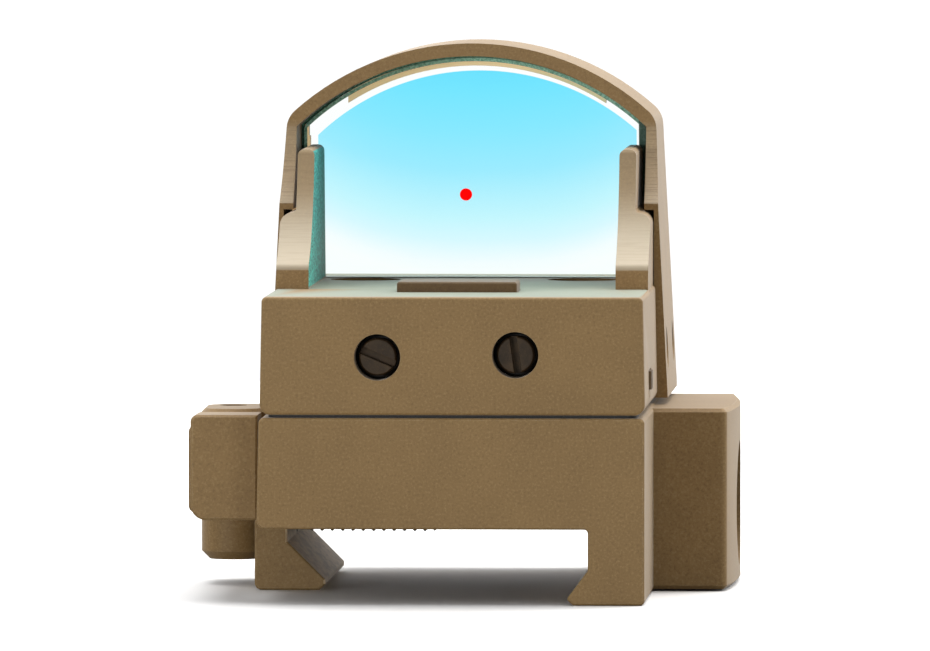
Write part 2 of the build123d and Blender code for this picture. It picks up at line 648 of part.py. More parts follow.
# Opening of the hood behind the lens; wider at the foot, to take in the wings
HOOD_HALF = 12.5
OPENING_HALF, OPENING_R = 11.72, ARCH_R - ARCH_WALL
OPENING_STEP_Z, OPENING_FOOT = 20.37, 15.3

with BuildPart() as hood_rear_cut:
    with BuildSketch(across(ahead(18.0))) as sketch:
        opening_shoulder = arch_shoulder(OPENING_HALF, OPENING_R)
        left_shoulder = (-OPENING_HALF, opening_shoulder)
        right_shoulder = (OPENING_HALF, opening_shoulder)
        left_step = (-OPENING_HALF, OPENING_STEP_Z)
        right_step = (OPENING_HALF, OPENING_STEP_Z)
        with BuildLine():
            Polyline(
                right_shoulder, right_step, (HOOD_HALF, OPENING_STEP_Z),
                (HOOD_HALF, OPENING_FOOT), (-HOOD_HALF, OPENING_FOOT),
                (-HOOD_HALF, OPENING_STEP_Z), left_step, left_shoulder,
            )
            ThreePointArc(left_shoulder, (0, ARCH_Z + OPENING_R), right_shoulder)
        make_face()
        round_corners(sketch, 0.9, right_shoulder, left_shoulder)
        round_corners(sketch, 0.2, right_step, left_step)
    extrude(amount=-30.0)
    with BuildSketch(side(-20.0)):
        with BuildLine():
            Polyline(*lens_slab(-30.0, 0.0), close=True)
        make_face()
    extrude(amount=40.0, mode=Mode.INTERSECT)

LEG_HALF, LEG_BOTTOM = 13.45, 7.7
LEG_GAP_HALF, LEG_GAP_Z = 12.48, 10.4
LEG_REAR_TOP = (ahead(22.8), 20.8)
HOOD_SWEEP_MID, HOOD_SWEEP_TOP = (ahead(25.12), 23.01), (ahead(26.7), 25.8)
# Rest of the side outline, from the arch's rear forward and down to the legs' rear (Y, Z)
HOOD_SIDE = [(ahead(27.0), 33.0), (ahead(39.3), 33.0), (ahead(41.0), 7.0), (ahead(22.8), 7.0)]
HOOD_HOLE_R, HOOD_SINK_R, HOOD_SINK_DEPTH = 0.85, 2.15, 1.3

with BuildPart() as lens_hood:
    with BuildSketch(across(ahead(20.0))) as sketch:
        hood_shoulder = arch_shoulder(HOOD_HALF, ARCH_R)
        left_shoulder, right_shoulder = (-HOOD_HALF, hood_shoulder), (HOOD_HALF, hood_shoulder)
        with BuildLine():
            Polyline(
                left_shoulder, (-LEG_HALF, LEG_BOTTOM), (LEG_HALF, LEG_BOTTOM), right_shoulder
            )
            ThreePointArc(right_shoulder, (0, ARCH_TOP), left_shoulder)
        make_face()
        round_corners(sketch, 1.7, right_shoulder, left_shoulder)
    extrude(amount=-24.0)
    with BuildSketch(side(-20.0)):
        with BuildLine():
            Polyline(HOOD_SWEEP_TOP, *HOOD_SIDE, LEG_REAR_TOP)
            ThreePointArc(LEG_REAR_TOP, HOOD_SWEEP_MID, HOOD_SWEEP_TOP)
        make_face()
    extrude(amount=40.0, mode=Mode.INTERSECT)
    # room for the housing between the legs
    with BuildSketch(across(ahead(20.0))):
        box((0, LEG_GAP_Z), 2 * LEG_GAP_HALF, 10.0)
    extrude(amount=-24.0, mode=Mode.SUBTRACT)
    add(hood_rear_cut.part, mode=Mode.SUBTRACT)
    # lens cell, open to the front until the lip is added
    with BuildSketch(across(ahead(20.0))):
        with BuildLine():
            tombstone(CELL_HALF, CELL_R, 15.2)
        make_face()
    extrude(amount=-24.0, mode=Mode.SUBTRACT)
    add(hood_lip.part)
    # countersunk screw holes in the legs
    for sign in (-1, 1):
        with BuildSketch(side(sign * 12.0)):
            circles(HOOD_HOLE_R, *HOOD_SCREWS)
        extrude(amount=sign * 3.0, mode=Mode.SUBTRACT)
        with BuildSketch(side(sign * 14.0)):
            circles(HOOD_SINK_R, *HOOD_SCREWS)
        extrude(amount=-sign * HOOD_SINK_DEPTH, taper=45, mode=Mode.SUBTRACT)
save(lens_hood, "lens_hood")

# ---- hood screws, countersunk, with hexagonal sockets
SMALL_SCREW_R = 0.77
HOOD_SCREW_IN, HOOD_SCREW_LEN = 9.9, 3.1
HOOD_HEAD_X, HOOD_HEAD_R, HOOD_HEAD_DEPTH = 13.2, 1.3, 0.53
HOOD_SOCKET_R = 0.5

with BuildPart() as hood_screws:
    for sign in (-1, 1):
        with BuildSketch(side(sign * HOOD_SCREW_IN)):
            circles(SMALL_SCREW_R, *HOOD_SCREWS)
        extrude(amount=sign * HOOD_SCREW_LEN)
        with BuildSketch(side(sign * HOOD_HEAD_X)):
            circles(HOOD_HEAD_R, *HOOD_SCREWS)
        extrude(amount=-sign * HOOD_HEAD_DEPTH, taper=45)
        with BuildSketch(side(sign * (HOOD_HEAD_X + 0.1))):
            with Locations(*HOOD_SCREWS):
                RegularPolygon(HOOD_SOCKET_R, 6)
        extrude(amount=-sign * 0.5, mode=Mode.SUBTRACT)
save(hood_screws, "hood_screws")

# ---- lens: tombstone meniscus, bowl towards the user
BOWL_R = 55.0
BOWL_MID_Z = 22.8
LENS_MID = (0.0, ahead(lens_depth(BOWL_MID_Z)), BOWL_MID_Z)
TO_USER = (0.0, -cos(LENS_TILT), -sin(LENS_TILT))  # normal of the lens's rear rim plane
FRONT_INSET, REAR_INSET = 3.3, 0.9  # how far each bowl reaches in front of the rim plane


def bowl_centre(inset):
    """Centre of a bowl sphere that reaches inset in front of the rim plane."""
    return tuple(mid + (BOWL_R - inset) * part for mid, part in zip(LENS_MID, TO_USER))


with BuildPart() as objective_lens:
    with BuildSketch(across(ahead(26.0))) as sketch:
        with BuildLine():
            tombstone(LENS_HALF, LENS_R, 15.42)
        make_face()
        lens_shoulder = arch_shoulder(LENS_HALF, LENS_R)
        round_corners(sketch, 0.8, (LENS_HALF, lens_shoulder), (-LENS_HALF, lens_shoulder))
    extrude(amount=-18.0)
    with BuildSketch(side(-20.0)):
        with BuildLine():
            Polyline(*lens_slab(0.02, 8.0), close=True)
        make_face()
    extrude(amount=40.0, mode=Mode.INTERSECT)
    with Locations(bowl_centre(FRONT_INSET)):
        Sphere(BOWL_R, mode=Mode.INTERSECT)
    with Locations(bowl_centre(REAR_INSET)):
        Sphere(BOWL_R, mode=Mode.SUBTRACT)
save(objective_lens, "objective_lens")

SEAL_GAP = 0.02  # to the cell outside and to the lens inside

with BuildPart() as lens_seal:
    with BuildSketch(across(ahead(28.0))):
        with BuildLine():
            tombstone(CELL_HALF - SEAL_GAP, CELL_R - SEAL_GAP, 15.45)
        make_face()
        with BuildLine():
            tombstone(LENS_HALF + SEAL_GAP, LENS_R + SEAL_GAP, 15.0)
        make_face(mode=Mode.SUBTRACT)
    extrude(amount=-14.0)
    with BuildSketch(side(-20.0)):
        with BuildLine():
            Polyline(*lens_slab(0.3, 1.9), close=True)
        make_face()
    extrude(amount=40.0, mode=Mode.INTERSECT)
save(lens_seal, "lens_seal")

# ---- emitter cover, the raised bar on the deck, open to the front
COVER_BAR_SIZE, COVER_BAR_BOTTOM, COVER_BAR_HEIGHT = (8.0, 4.9), 15.02, 1.03
BAR_HOLLOW, BAR_HOLLOW_SIZE = (0, ahead(11.4)), (5.6, 4.6)
WINDOW, WINDOW_SIZE = (0, ahead(12.99)), (4.9, 0.3)
WINDOW_BOTTOM, WINDOW_HEIGHT = 14.3, 1.4

with BuildPart() as emitter_cover:
    with BuildSketch(level(COVER_BAR_BOTTOM)):
        with Locations(EMITTER_COVER):
            RectangleRounded(*COVER_BAR_SIZE, 0.2)
    extrude(amount=COVER_BAR_HEIGHT)
    chamfer(emitter_cover.faces().sort_by(Axis.Z)[-1].edges(), 0.12)
    with BuildSketch(level(15.0)):
        box(BAR_HOLLOW, *BAR_HOLLOW_SIZE)
    extrude(amount=0.75, mode=Mode.SUBTRACT)
save(emitter_cover, "emitter_cover")

with BuildPart() as emitter_window:
    with BuildSketch(level(WINDOW_BOTTOM)):
        box(WINDOW, *WINDOW_SIZE)
    extrude(amount=WINDOW_HEIGHT)
save(emitter_window, "emitter_window")

# ---- reticle adjustment
# Each adjuster turns in its bore, held by a clip; its thread drives a wedge along Y.
HEAD_DEPTH, HEAD_LEN, HEAD_R = 0.7, 2.2, 1.24
STEM_DEPTH, STEM_LEN, STEM_R = 2.0, 6.6, 0.93
RING_GROOVE_DEPTH, RING_GROOVE_LEN, RING_GROOVE_R = 1.85, 0.5, 1.04
CLIP_GROOVE_DEPTH, CLIP_GROOVE_LEN, CLIP_GROOVE_R = 4.63, 0.22, 0.6
DRIVER_SLOT_SIZE = (3.0, 0.5)


def adjuster(name, centre, slot_angle):
    """Slotted adjuster with a groove for the O-ring and one for the clip."""
    with BuildPart() as screw:
        with BuildSketch(across(ahead(HEAD_DEPTH))):
            circles(HEAD_R, centre)
        extrude(amount=-HEAD_LEN)
        with BuildSketch(across(ahead(STEM_DEPTH))):
            circles(STEM_R, centre)
        extrude(amount=-STEM_LEN)
        chamfer(screw.faces().sort_by(Axis.Y)[0].edges(), 0.1)
        for depth, length, radius in (
            (RING_GROOVE_DEPTH, RING_GROOVE_LEN, RING_GROOVE_R),
            (CLIP_GROOVE_DEPTH, CLIP_GROOVE_LEN, CLIP_GROOVE_R),
        ):
            with BuildSketch(across(ahead(depth))):
                circles(2.0, centre)
                circles(radius, centre, mode=Mode.SUBTRACT)
            extrude(amount=-length, mode=Mode.SUBTRACT)
        with BuildSketch(across(ahead(0.6))):
            with Locations(Location((*centre, 0), (0, 0, slot_angle))):
                Rectangle(*DRIVER_SLOT_SIZE)
        extrude(amount=-0.75, mode=Mode.SUBTRACT)
    save(screw, name)


adjuster("elevation_adjuster", ELEVATION, slot_angle=-23)
adjuster("windage_adjuster", WINDAGE, slot_angle=98)

ORING_R, ORING_WIRE_R, ORING_DEPTH = 1.285, 0.215, 2.1

with BuildPart() as adjuster_orings:
    for x, z in (ELEVATION, WINDAGE):
        with BuildSketch(level(z)):
            circles(ORING_WIRE_R, (x + ORING_R, ahead(ORING_DEPTH)))
        revolve(axis=Axis((x, 0, z), (0, 1, 0)))
save(adjuster_orings, "adjuster_orings")

CLIP_DEPTH, CLIP_THICK, CLIP_R, CLIP_BORE_R = 4.65, 0.18, 1.5, 0.66
CLIP_GAP_DROP, CLIP_GAP_SIZE = 1.2, (1.0, 1.8)

# clips, open at the bottom
for name, centre in (("elevation_clip", ELEVATION), ("windage_clip", WINDAGE)):
    with BuildPart() as clip:
        with BuildSketch(across(ahead(CLIP_DEPTH))):
            circles(CLIP_R, centre)
            circles(CLIP_BORE_R, centre, mode=Mode.SUBTRACT)
            box((centre[0], centre[1] - CLIP_GAP_DROP), *CLIP_GAP_SIZE, mode=Mode.SUBTRACT)
        extrude(amount=-CLIP_THICK)
    save(clip, name)

# ---- wedges
WEDGE_DEPTH, WEDGE_BORE_R, WEDGE_HEIGHT = 5.7, 0.98, 2.3
ELEVATION_NUT_LEN, ELEVATION_NUT_WIDTH = 3.1, 2.3
ELEVATION_ARM_LEFT, ELEVATION_ARM_LEN = -6.1, 7.7
ELEVATION_RAMP = [  # Y, Z
    (ahead(8.2), 9.4), (ahead(12.2), 9.4), (ahead(10.52), 11.08), (ahead(8.2), 11.08),
]
WINDAGE_NUT_LEN, WINDAGE_NUT_WIDTH = 3.3, 2.24
WINDAGE_RAMP = [  # X, Y
    (5.29, ahead(8.9)), (5.29, ahead(11.3)), (5.1, ahead(11.3)),
    (3.4, ahead(9.6)), (3.4, ahead(8.9)),
]

# wedge nut of the elevation adjuster, with its arm under the emitter carriage
with BuildPart() as elevation_wedge:
    with BuildSketch(across(ahead(WEDGE_DEPTH))):
        box(ELEVATION, ELEVATION_NUT_WIDTH, WEDGE_HEIGHT)
    extrude(amount=-ELEVATION_NUT_LEN)
    with BuildSketch(side(ELEVATION_ARM_LEFT)):
        with BuildLine():
            Polyline(*ELEVATION_RAMP, close=True)
        make_face()
    extrude(amount=ELEVATION_ARM_LEN)
    with BuildSketch(across(ahead(5.0))):
        circles(WEDGE_BORE_R, ELEVATION)
    extrude(amount=-4.4, mode=Mode.SUBTRACT)
save(elevation_wedge, "elevation_wedge")

with BuildPart() as windage_wedge:
    with BuildSketch(across(ahead(WEDGE_DEPTH))):
        box(WINDAGE, WINDAGE_NUT_WIDTH, WEDGE_HEIGHT)
    extrude(amount=-WINDAGE_NUT_LEN)
    with BuildSketch(level(WINDAGE[1] - WEDGE_HEIGHT / 2)):
        with BuildLine():
            Polyline(*WINDAGE_RAMP, close=True)
        make_face()
    extrude(amount=WEDGE_HEIGHT)
    with BuildSketch(across(ahead(5.0))):
        circles(WEDGE_BORE_R, WINDAGE)
    extrude(amount=-4.4, mode=Mode.SUBTRACT)
save(windage_wedge, "windage_wedge")

# ---- carriages
CARRIAGE_BOTTOM, FRAME_HEIGHT, EAR_HEIGHT = 11.5, 3.1, 0.9
FRAME_WIDTH, FRAME_REAR, FRAME_FRONT = 5.8, 8.95, 12.7  # outside: width, then depths
SLOT_WIDTH, SLOT_REAR, SLOT_FRONT = 4.0, 9.35, 13.4  # inside, open to the front
WINDAGE_EAR = [  # X, Y
    (2.5, ahead(9.17)), (2.9, ahead(9.17)), (4.7, ahead(10.97)),
    (4.7, ahead(12.0)), (2.5, ahead(12.0)),
]
BLOCK_HALF, BLOCK_TOP = 1.95, 15.1
EMITTER_BLOCK = [  # Y, Z
    (ahead(9.42), BLOCK_TOP), (ahead(9.42), 11.6), (ahead(10.07), 11.6),
    (ahead(12.2), 9.47), (ahead(12.5), 9.47), (ahead(12.5), BLOCK_TOP),
]
LIFT_SPRING_DEPTH = 10.6  # upright spring in the emitter carriage

# windage carriage: U frame that slides in X, ear with a ramp on its right
with BuildPart() as windage_carriage:
    with BuildSketch(level(CARRIAGE_BOTTOM)):
        box((0, ahead((FRAME_REAR + FRAME_FRONT) / 2)), FRAME_WIDTH, FRAME_FRONT - FRAME_REAR)
        box(
            (0, ahead((SLOT_REAR + SLOT_FRONT) / 2)),
            SLOT_WIDTH, SLOT_FRONT - SLOT_REAR, mode=Mode.SUBTRACT,
        )
    extrude(amount=FRAME_HEIGHT)
    with BuildSketch(level(CARRIAGE_BOTTOM)):
        with BuildLine():
            Polyline(*WINDAGE_EAR, close=True)
        make_face()
    extrude(amount=EAR_HEIGHT)
save(windage_carriage, "windage_carriage")

# emitter carriage: block that rides up and down in the frame on the elevation ramp
with BuildPart() as emitter_carriage:
    with BuildSketch(side(-BLOCK_HALF)):
        with BuildLine():
            Polyline(*EMITTER_BLOCK, close=True)
        make_face()
    extrude(amount=2 * BLOCK_HALF)
    with BuildSketch(level(BLOCK_TOP)):
        circles(0.65, (0, ahead(LIFT_SPRING_DEPTH)))
    extrude(amount=-1.8, mode=Mode.SUBTRACT)
save(emitter_carriage, "emitter_carriage")

# ---- emitter and mask on the front of the emitter carriage
EMITTER = (0, 14.6)  # X, Z

with BuildPart() as led_emitter:
    with BuildSketch(across(ahead(12.51))):
        box(EMITTER, 1.0, 0.8)
    extrude(amount=-0.14)
save(led_emitter, "led_emitter")

with BuildPart() as reticle_mask:
    with BuildSketch(across(ahead(12.67))):
        box(EMITTER, 1.8, 0.96)
        circles(0.06, EMITTER, mode=Mode.SUBTRACT)
    extrude(amount=-0.07)
save(reticle_mask, "reticle_mask")

# ---- carriage springs
LIFT_SPRING_BOTTOM, LIFT_SPRING_LEN, LIFT_SPRING_TURNS = 13.42, 2.18, 5
LIFT_SPRING_R, LIFT_SPRING_WIRE_R = 0.45, 0.09
LIFT_SPRING_PLANE = Plane(
    origin=(0, ahead(LIFT_SPRING_DEPTH), LIFT_SPRING_BOTTOM), x_dir=(1, 0, 0), z_dir=(0, 0, 1)
)

with BuildPart() as elevation_spring:
    with BuildLine(LIFT_SPRING_PLANE) as coil:
        Helix(
            pitch=LIFT_SPRING_LEN / LIFT_SPRING_TURNS, height=LIFT_SPRING_LEN,
            radius=LIFT_SPRING_R,
        )
    with BuildSketch(Plane(origin=coil.line @ 0, z_dir=coil.line % 0)):
        Circle(LIFT_SPRING_WIRE_R)
    sweep(path=coil.line, is_frenet=True)
save(elevation_spring, "elevation_spring")

springs_along_x(
    "windage_spring", starts=[(-7.15, ahead(11.2), 12.55)],
    length=4.1, turns=6, radius=0.6, wire_radius=0.1,
)

# ---- battery and its contacts
CELL_BOTTOM, CELL_FOOT_R, CELL_FOOT_HEIGHT = 8.55, 7.3, 0.6
CAN_BOTTOM, CAN_R, CAN_HEIGHT = 8.85, 8.0, 2.9
CONTACT_HALF = 1.4
POSITIVE_STRIP = [  # Y, Z of the bowed strip: underside forward, then top side back
    (ahead(18.2), 12.28), (ahead(18.2), 12.1), (ahead(21.0), 11.78), (ahead(24.6), 11.78),
    (ahead(27.4), 12.1), (ahead(27.4), 12.28), (ahead(24.5), 11.95), (ahead(21.1), 11.95),
]

with BuildPart() as coin_cell:
    with BuildSketch(level(CELL_BOTTOM)):
        circles(CELL_FOOT_R, BAY)
    extrude(amount=CELL_FOOT_HEIGHT)
    with BuildSketch(level(CAN_BOTTOM)):
        circles(CAN_R, BAY)
    extrude(amount=CAN_HEIGHT)
    chamfer(coin_cell.faces().sort_by(Axis.Z)[-1].edges(), 0.2)
save(coin_cell, "coin_cell")

with BuildPart() as negative_contact:
    with BuildSketch(level(8.27)):
        with Locations(BAY):
            SlotOverall(9.0, 2.6, rotation=90)
    extrude(amount=0.26)
save(negative_contact, "negative_contact")

with BuildPart() as positive_contact:
    with BuildSketch(side(-CONTACT_HALF)):
        with BuildLine():
            Polyline(*POSITIVE_STRIP, close=True)
        make_face()
    extrude(amount=2 * CONTACT_HALF)
save(positive_contact, "positive_contact")

# ---- circuit board and chips
BOARD_BOTTOM, BOARD_R, BOARD_THICK = 12.3, 8.1, 0.7
SMALL_CHIPS = [  # X, Y
    (-4.0, ahead(21.0)), (-4.0, ahead(24.0)), (4.2, ahead(21.5)), (4.2, ahead(25.0)),
]

with BuildPart() as circuit_board:
    with BuildSketch(level(BOARD_BOTTOM)):
        circles(BOARD_R, BAY)
    extrude(amount=BOARD_THICK)
    # rear edge cut straight
    with BuildSketch(level(12.0)):
        box((0, ahead(14.4)), 20.0, 1.2)
    extrude(amount=2.0, mode=Mode.SUBTRACT)
save(circuit_board, "circuit_board")

with BuildPart() as board_chips:
    with BuildSketch(level(BOARD_BOTTOM + BOARD_THICK + 0.01)):
        box((0, ahead(23.5)), 3.0, 3.0)
        with Locations(*SMALL_CHIPS):
            Rectangle(1.0, 0.5)
    extrude(amount=0.45)
save(board_chips, "board_chips")

# ---- light sensor and its window in the front face
with BuildPart() as light_sensor:
    for depth, radius, length in ((36.4, 1.2, 3.0), (39.0, 0.8, 0.8)):
        with BuildSketch(across(ahead(depth))):
            circles(radius, SENSOR)
        extrude(amount=-length)
save(light_sensor, "light_sensor")

with BuildPart() as sensor_window:
    with BuildSketch(across(ahead(40.0))):
        circles(SENSOR_BORE_R - 0.02, SENSOR)
    extrude(amount=-0.8)
save(sensor_window, "sensor_window")

# ---- bottom cover with gasket and countersunk screws
COVER_BOTTOM, COVER_THICK = 7.56, 0.69
COVER_SINK_R, COVER_SINK_DEPTH = 1.36, 0.53
COVER_GASKET_BOTTOM, COVER_GASKET_THICK = 8.27, 0.21
GASKET_WINDOW, GASKET_WINDOW_SIZE = (-0.2, ahead(9.8)), (14.6, 11.0)
COVER_HEAD_BOTTOM, COVER_HEAD_R, COVER_HEAD_HEIGHT = 7.57, 1.28, 0.5
COVER_SCREW_LEN, COVER_SOCKET_R = 3.2, 0.45

with BuildPart() as bottom_cover:
    with BuildSketch(level(COVER_BOTTOM)):
        cover_outline(0.08)
    extrude(amount=COVER_THICK)
    with BuildSketch(level(7.0)):
        circles(0.83, *COVER_SCREWS)
    extrude(amount=2.0, mode=Mode.SUBTRACT)
    with BuildSketch(level(COVER_BOTTOM - 0.01)):
        circles(COVER_SINK_R, *COVER_SCREWS)
    extrude(amount=COVER_SINK_DEPTH, taper=45, mode=Mode.SUBTRACT)
save(bottom_cover, "bottom_cover")

with BuildPart() as cover_gasket:
    with BuildSketch(level(COVER_GASKET_BOTTOM)):
        cover_outline(0.1)
        box(GASKET_WINDOW, *GASKET_WINDOW_SIZE, mode=Mode.SUBTRACT)
        circles(BAY_R + 0.1, BAY, mode=Mode.SUBTRACT)
        circles(0.85, *COVER_SCREWS, mode=Mode.SUBTRACT)
    extrude(amount=COVER_GASKET_THICK)
save(cover_gasket, "cover_gasket")

with BuildPart() as cover_screws:
    with BuildSketch(level(COVER_HEAD_BOTTOM)):
        circles(COVER_HEAD_R, *COVER_SCREWS)
    extrude(amount=COVER_HEAD_HEIGHT, taper=45)
    with BuildSketch(level(COVER_HEAD_BOTTOM)):
        circles(SMALL_SCREW_R, *COVER_SCREWS)
    extrude(amount=COVER_SCREW_LEN)
    with BuildSketch(level(7.5)):
        with Locations(*COVER_SCREWS):
            RegularPolygon(COVER_SOCKET_R, 6)
    extrude(amount=0.5, mode=Mode.SUBTRACT)
save(cover_screws, "cover_screws")

# ---- slide switch: thumb piece in the right wall, body behind it
THUMB_LEFT, THUMB_LEN, THUMB_SIZE = 6.95, 5.95, (2.6, 1.22)
RIB_DEPTH, RIB_PITCH, RIB_COUNT = 8.2, 0.55, 4
SWITCH_BODY_LEFT, SWITCH_BODY_LEN = 5.6, 1.22

with BuildPart() as power_switch:
    with BuildSketch(side(THUMB_LEFT)):
        box((ahead(9.0), SWITCH_Z), *THUMB_SIZE)
    extrude(amount=THUMB_LEN)
    # grip grooves
    with BuildSketch(side(12.75)):
        with Locations(*[(ahead(RIB_DEPTH + RIB_PITCH * i), SWITCH_Z) for i in range(RIB_COUNT)]):
            Rectangle(0.22, 1.3)
    extrude(amount=0.3, mode=Mode.SUBTRACT)
save(power_switch, "power_switch")

with BuildPart() as switch_body:
    with BuildSketch(side(SWITCH_BODY_LEFT)):
        box((ahead(9.9), 9.4), 5.4, 1.6)
    extrude(amount=SWITCH_BODY_LEN)
save(switch_body, "switch_body")
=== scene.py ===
"""Looks and studio for a compact open reflex sight.

The sight looks along +Y, so its user is on the -Y side; +X is the user's
right and +Z is up. Sizes are in millimetres and become metres through MM.
"""
import json
import math
from collections import namedtuple

import bmesh
import bpy
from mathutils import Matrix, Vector

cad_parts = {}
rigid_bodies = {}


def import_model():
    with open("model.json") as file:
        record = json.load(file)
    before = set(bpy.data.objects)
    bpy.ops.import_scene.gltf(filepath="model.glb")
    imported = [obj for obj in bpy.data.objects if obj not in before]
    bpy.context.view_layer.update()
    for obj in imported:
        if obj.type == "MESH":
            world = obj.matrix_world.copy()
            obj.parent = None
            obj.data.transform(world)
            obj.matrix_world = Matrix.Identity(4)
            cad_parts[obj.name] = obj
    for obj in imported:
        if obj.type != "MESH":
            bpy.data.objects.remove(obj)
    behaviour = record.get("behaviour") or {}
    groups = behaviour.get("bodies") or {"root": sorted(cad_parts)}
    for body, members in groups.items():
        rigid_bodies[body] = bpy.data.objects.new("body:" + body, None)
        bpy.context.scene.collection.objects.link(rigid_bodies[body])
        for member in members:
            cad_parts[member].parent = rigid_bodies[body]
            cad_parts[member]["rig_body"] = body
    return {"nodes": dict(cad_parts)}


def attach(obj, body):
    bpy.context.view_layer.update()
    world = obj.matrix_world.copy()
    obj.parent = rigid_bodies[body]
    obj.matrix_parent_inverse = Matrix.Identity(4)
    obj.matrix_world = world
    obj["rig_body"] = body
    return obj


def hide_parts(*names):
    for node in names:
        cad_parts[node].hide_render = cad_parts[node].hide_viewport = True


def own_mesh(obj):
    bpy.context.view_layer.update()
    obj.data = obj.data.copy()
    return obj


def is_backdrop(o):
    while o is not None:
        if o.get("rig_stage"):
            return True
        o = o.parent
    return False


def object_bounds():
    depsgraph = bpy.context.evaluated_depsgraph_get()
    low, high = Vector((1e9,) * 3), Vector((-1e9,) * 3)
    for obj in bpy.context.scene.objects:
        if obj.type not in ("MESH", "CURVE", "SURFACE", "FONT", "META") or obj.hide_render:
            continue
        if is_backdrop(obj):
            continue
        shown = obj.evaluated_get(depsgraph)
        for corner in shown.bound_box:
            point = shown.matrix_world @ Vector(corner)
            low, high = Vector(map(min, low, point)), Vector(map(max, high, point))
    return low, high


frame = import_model()
CAD_LO, CAD_HI = (list(v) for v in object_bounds())

MM = 0.001
REAR_Y = -28.0          # rear end of the sight
GLASS_AXIS_Z = 13.5     # centre of the arch of the glass and of its hood
LENS_FOOT_Z = 15.4      # foot of the visible glass


def y_at(depth):
    """Y in mm at a depth in front of the rear end."""
    return REAR_Y + depth


def add_object(name, data):
    obj = bpy.data.objects.new(name, data)
    bpy.context.scene.collection.objects.link(obj)
    return obj


# =============================================================== node helper
def lin(*rgb):
    """Linear RGBA from 0-255 sRGB."""
    out = []
    for c in rgb:
        c /= 255.0
        out.append(c / 12.92 if c <= 0.04045 else ((c + 0.055) / 1.055) ** 2.4)
    return (*out, 1.0)


def lighter(rgb, lift, gain=1.0):
    return lin(*[min(255, c * gain + lift) for c in rgb])


Axes = namedtuple("Axes", "x y z")


class Nodes:
    """Builds and wires the shader nodes of a material or world."""

    def __init__(self, owner, output="ShaderNodeOutputMaterial", coordinates="Object"):
        self.owner = owner
        owner.use_nodes = True
        self.tree = owner.node_tree
        self.tree.nodes.clear()
        self.output = self.add(output)
        self.coord = self.add("ShaderNodeTexCoord").outputs[coordinates]

    def add(self, kind, inputs=None, **props):
        """New node; inputs maps a socket name or index to a value or a socket to link."""
        node = self.add_plain(kind)
        for key, value in props.items():
            setattr(node, key, value)
        for key, value in (inputs or {}).items():
            self.put(node.inputs[key], value)
        return node

    def add_plain(self, kind):
        return self.tree.nodes.new(kind)

    def put(self, socket, value):
        if isinstance(value, bpy.types.NodeSocket):
            self.tree.links.new(value, socket)
        else:
            socket.default_value = value

    def math(self, operation, a, b=0.0, *rest, clamp=False):
        operands = dict(enumerate((a, b, *rest)))
        return self.add("ShaderNodeMath", operands, operation=operation, use_clamp=clamp).outputs[0]

    def times(self, first, *others):
        for other in others:
            first = self.math("MULTIPLY", first, other)
        return first

    def minus(self, a, b):
        return self.math("SUBTRACT", a, b)

    def scaled(self, value, gain, offset):
        return self.math("MULTIPLY_ADD", value, gain, offset)

    def size(self, value):
        return self.math("ABSOLUTE", value)

    def distance(self, a, b):
        return self.math("SQRT", self.math("ADD", self.times(a, a), self.times(b, b)))

    def ramp(self, value, off, on, bottom=0.0, top=1.0):
        """Smooth step: bottom where value is at off, top where it is at on."""
        return self.add("ShaderNodeMapRange", {
            "Value": value, "From Min": off, "From Max": on, "To Min": bottom, "To Max": top,
        }, interpolation_type="SMOOTHSTEP", clamp=True).outputs["Result"]

    def ramp_mm(self, value, off, on):
        return self.ramp(value, off * MM, on * MM)

    def noise(self, scale, detail=3.0, rough=0.55, vector=None):
        """Noise whose scale is in features per millimetre."""
        return self.add("ShaderNodeTexNoise", {
            "Vector": vector or self.coord, "Scale": scale * 1000.0,
            "Detail": detail, "Roughness": rough,
        }).outputs["Fac"]

    def stretched(self, x, y, z):
        mapping = self.add("ShaderNodeMapping", {"Vector": self.coord, "Scale": (x, y, z)})
        return mapping.outputs["Vector"]

    def mix(self, factor, a, b, blend="MIX"):
        return self.add("ShaderNodeMix", {0: factor, 6: a, 7: b}, data_type="RGBA",
                        blend_type=blend, clamp_factor=True).outputs[2]

    def overlay(self, colour, over, mask, strength):
        return self.mix(self.times(mask, strength), colour, over)

    def xyz(self, vector):
        return Axes(*self.add("ShaderNodeSeparateXYZ", {0: vector}).outputs)

    def bump(self, height, depth, strength, normal=None):
        """Bump with its depth in mm."""
        inputs = {"Height": height, "Distance": depth * MM, "Strength": strength}
        if normal is not None:
            inputs["Normal"] = normal
        return self.add("ShaderNodeBump", inputs).outputs["Normal"]

    def edge(self, radius):
        """1 on edges and 0 on open faces, and the rounded normal itself."""
        bevel = self.add("ShaderNodeBevel", {"Radius": radius * MM}, samples=4)
        rounded = bevel.outputs["Normal"]
        flat = self.add("ShaderNodeNewGeometry").outputs["Normal"]
        dot = self.add("ShaderNodeVectorMath", {0: rounded, 1: flat}, operation="DOT_PRODUCT")
        return self.ramp(self.minus(1.0, dot.outputs["Value"]), off=0.004, on=0.12), rounded

    def principled(self, **inputs):
        named = {key.replace("_", " "): value for key, value in inputs.items()}
        return self.add("ShaderNodeBsdfPrincipled", named)

    def mix_shader(self, factor, a, b):
        return self.add("ShaderNodeMixShader", {0: factor, 1: a.outputs[0], 2: b.outputs[0]})

    def done(self, shader):
        self.put(self.output.inputs["Surface"], shader.outputs[0])
        return self.owner


def new_material(name):
    return Nodes(bpy.data.materials.new(name))


# ================================================================== tan coat
COAT_BASE = lin(142, 114, 72)
COAT_DARK = lin(134, 107, 67)
COAT_LITE = lin(163, 137, 94)
SHEEN = 0.26            # how much the dusty coat pales at grazing angles


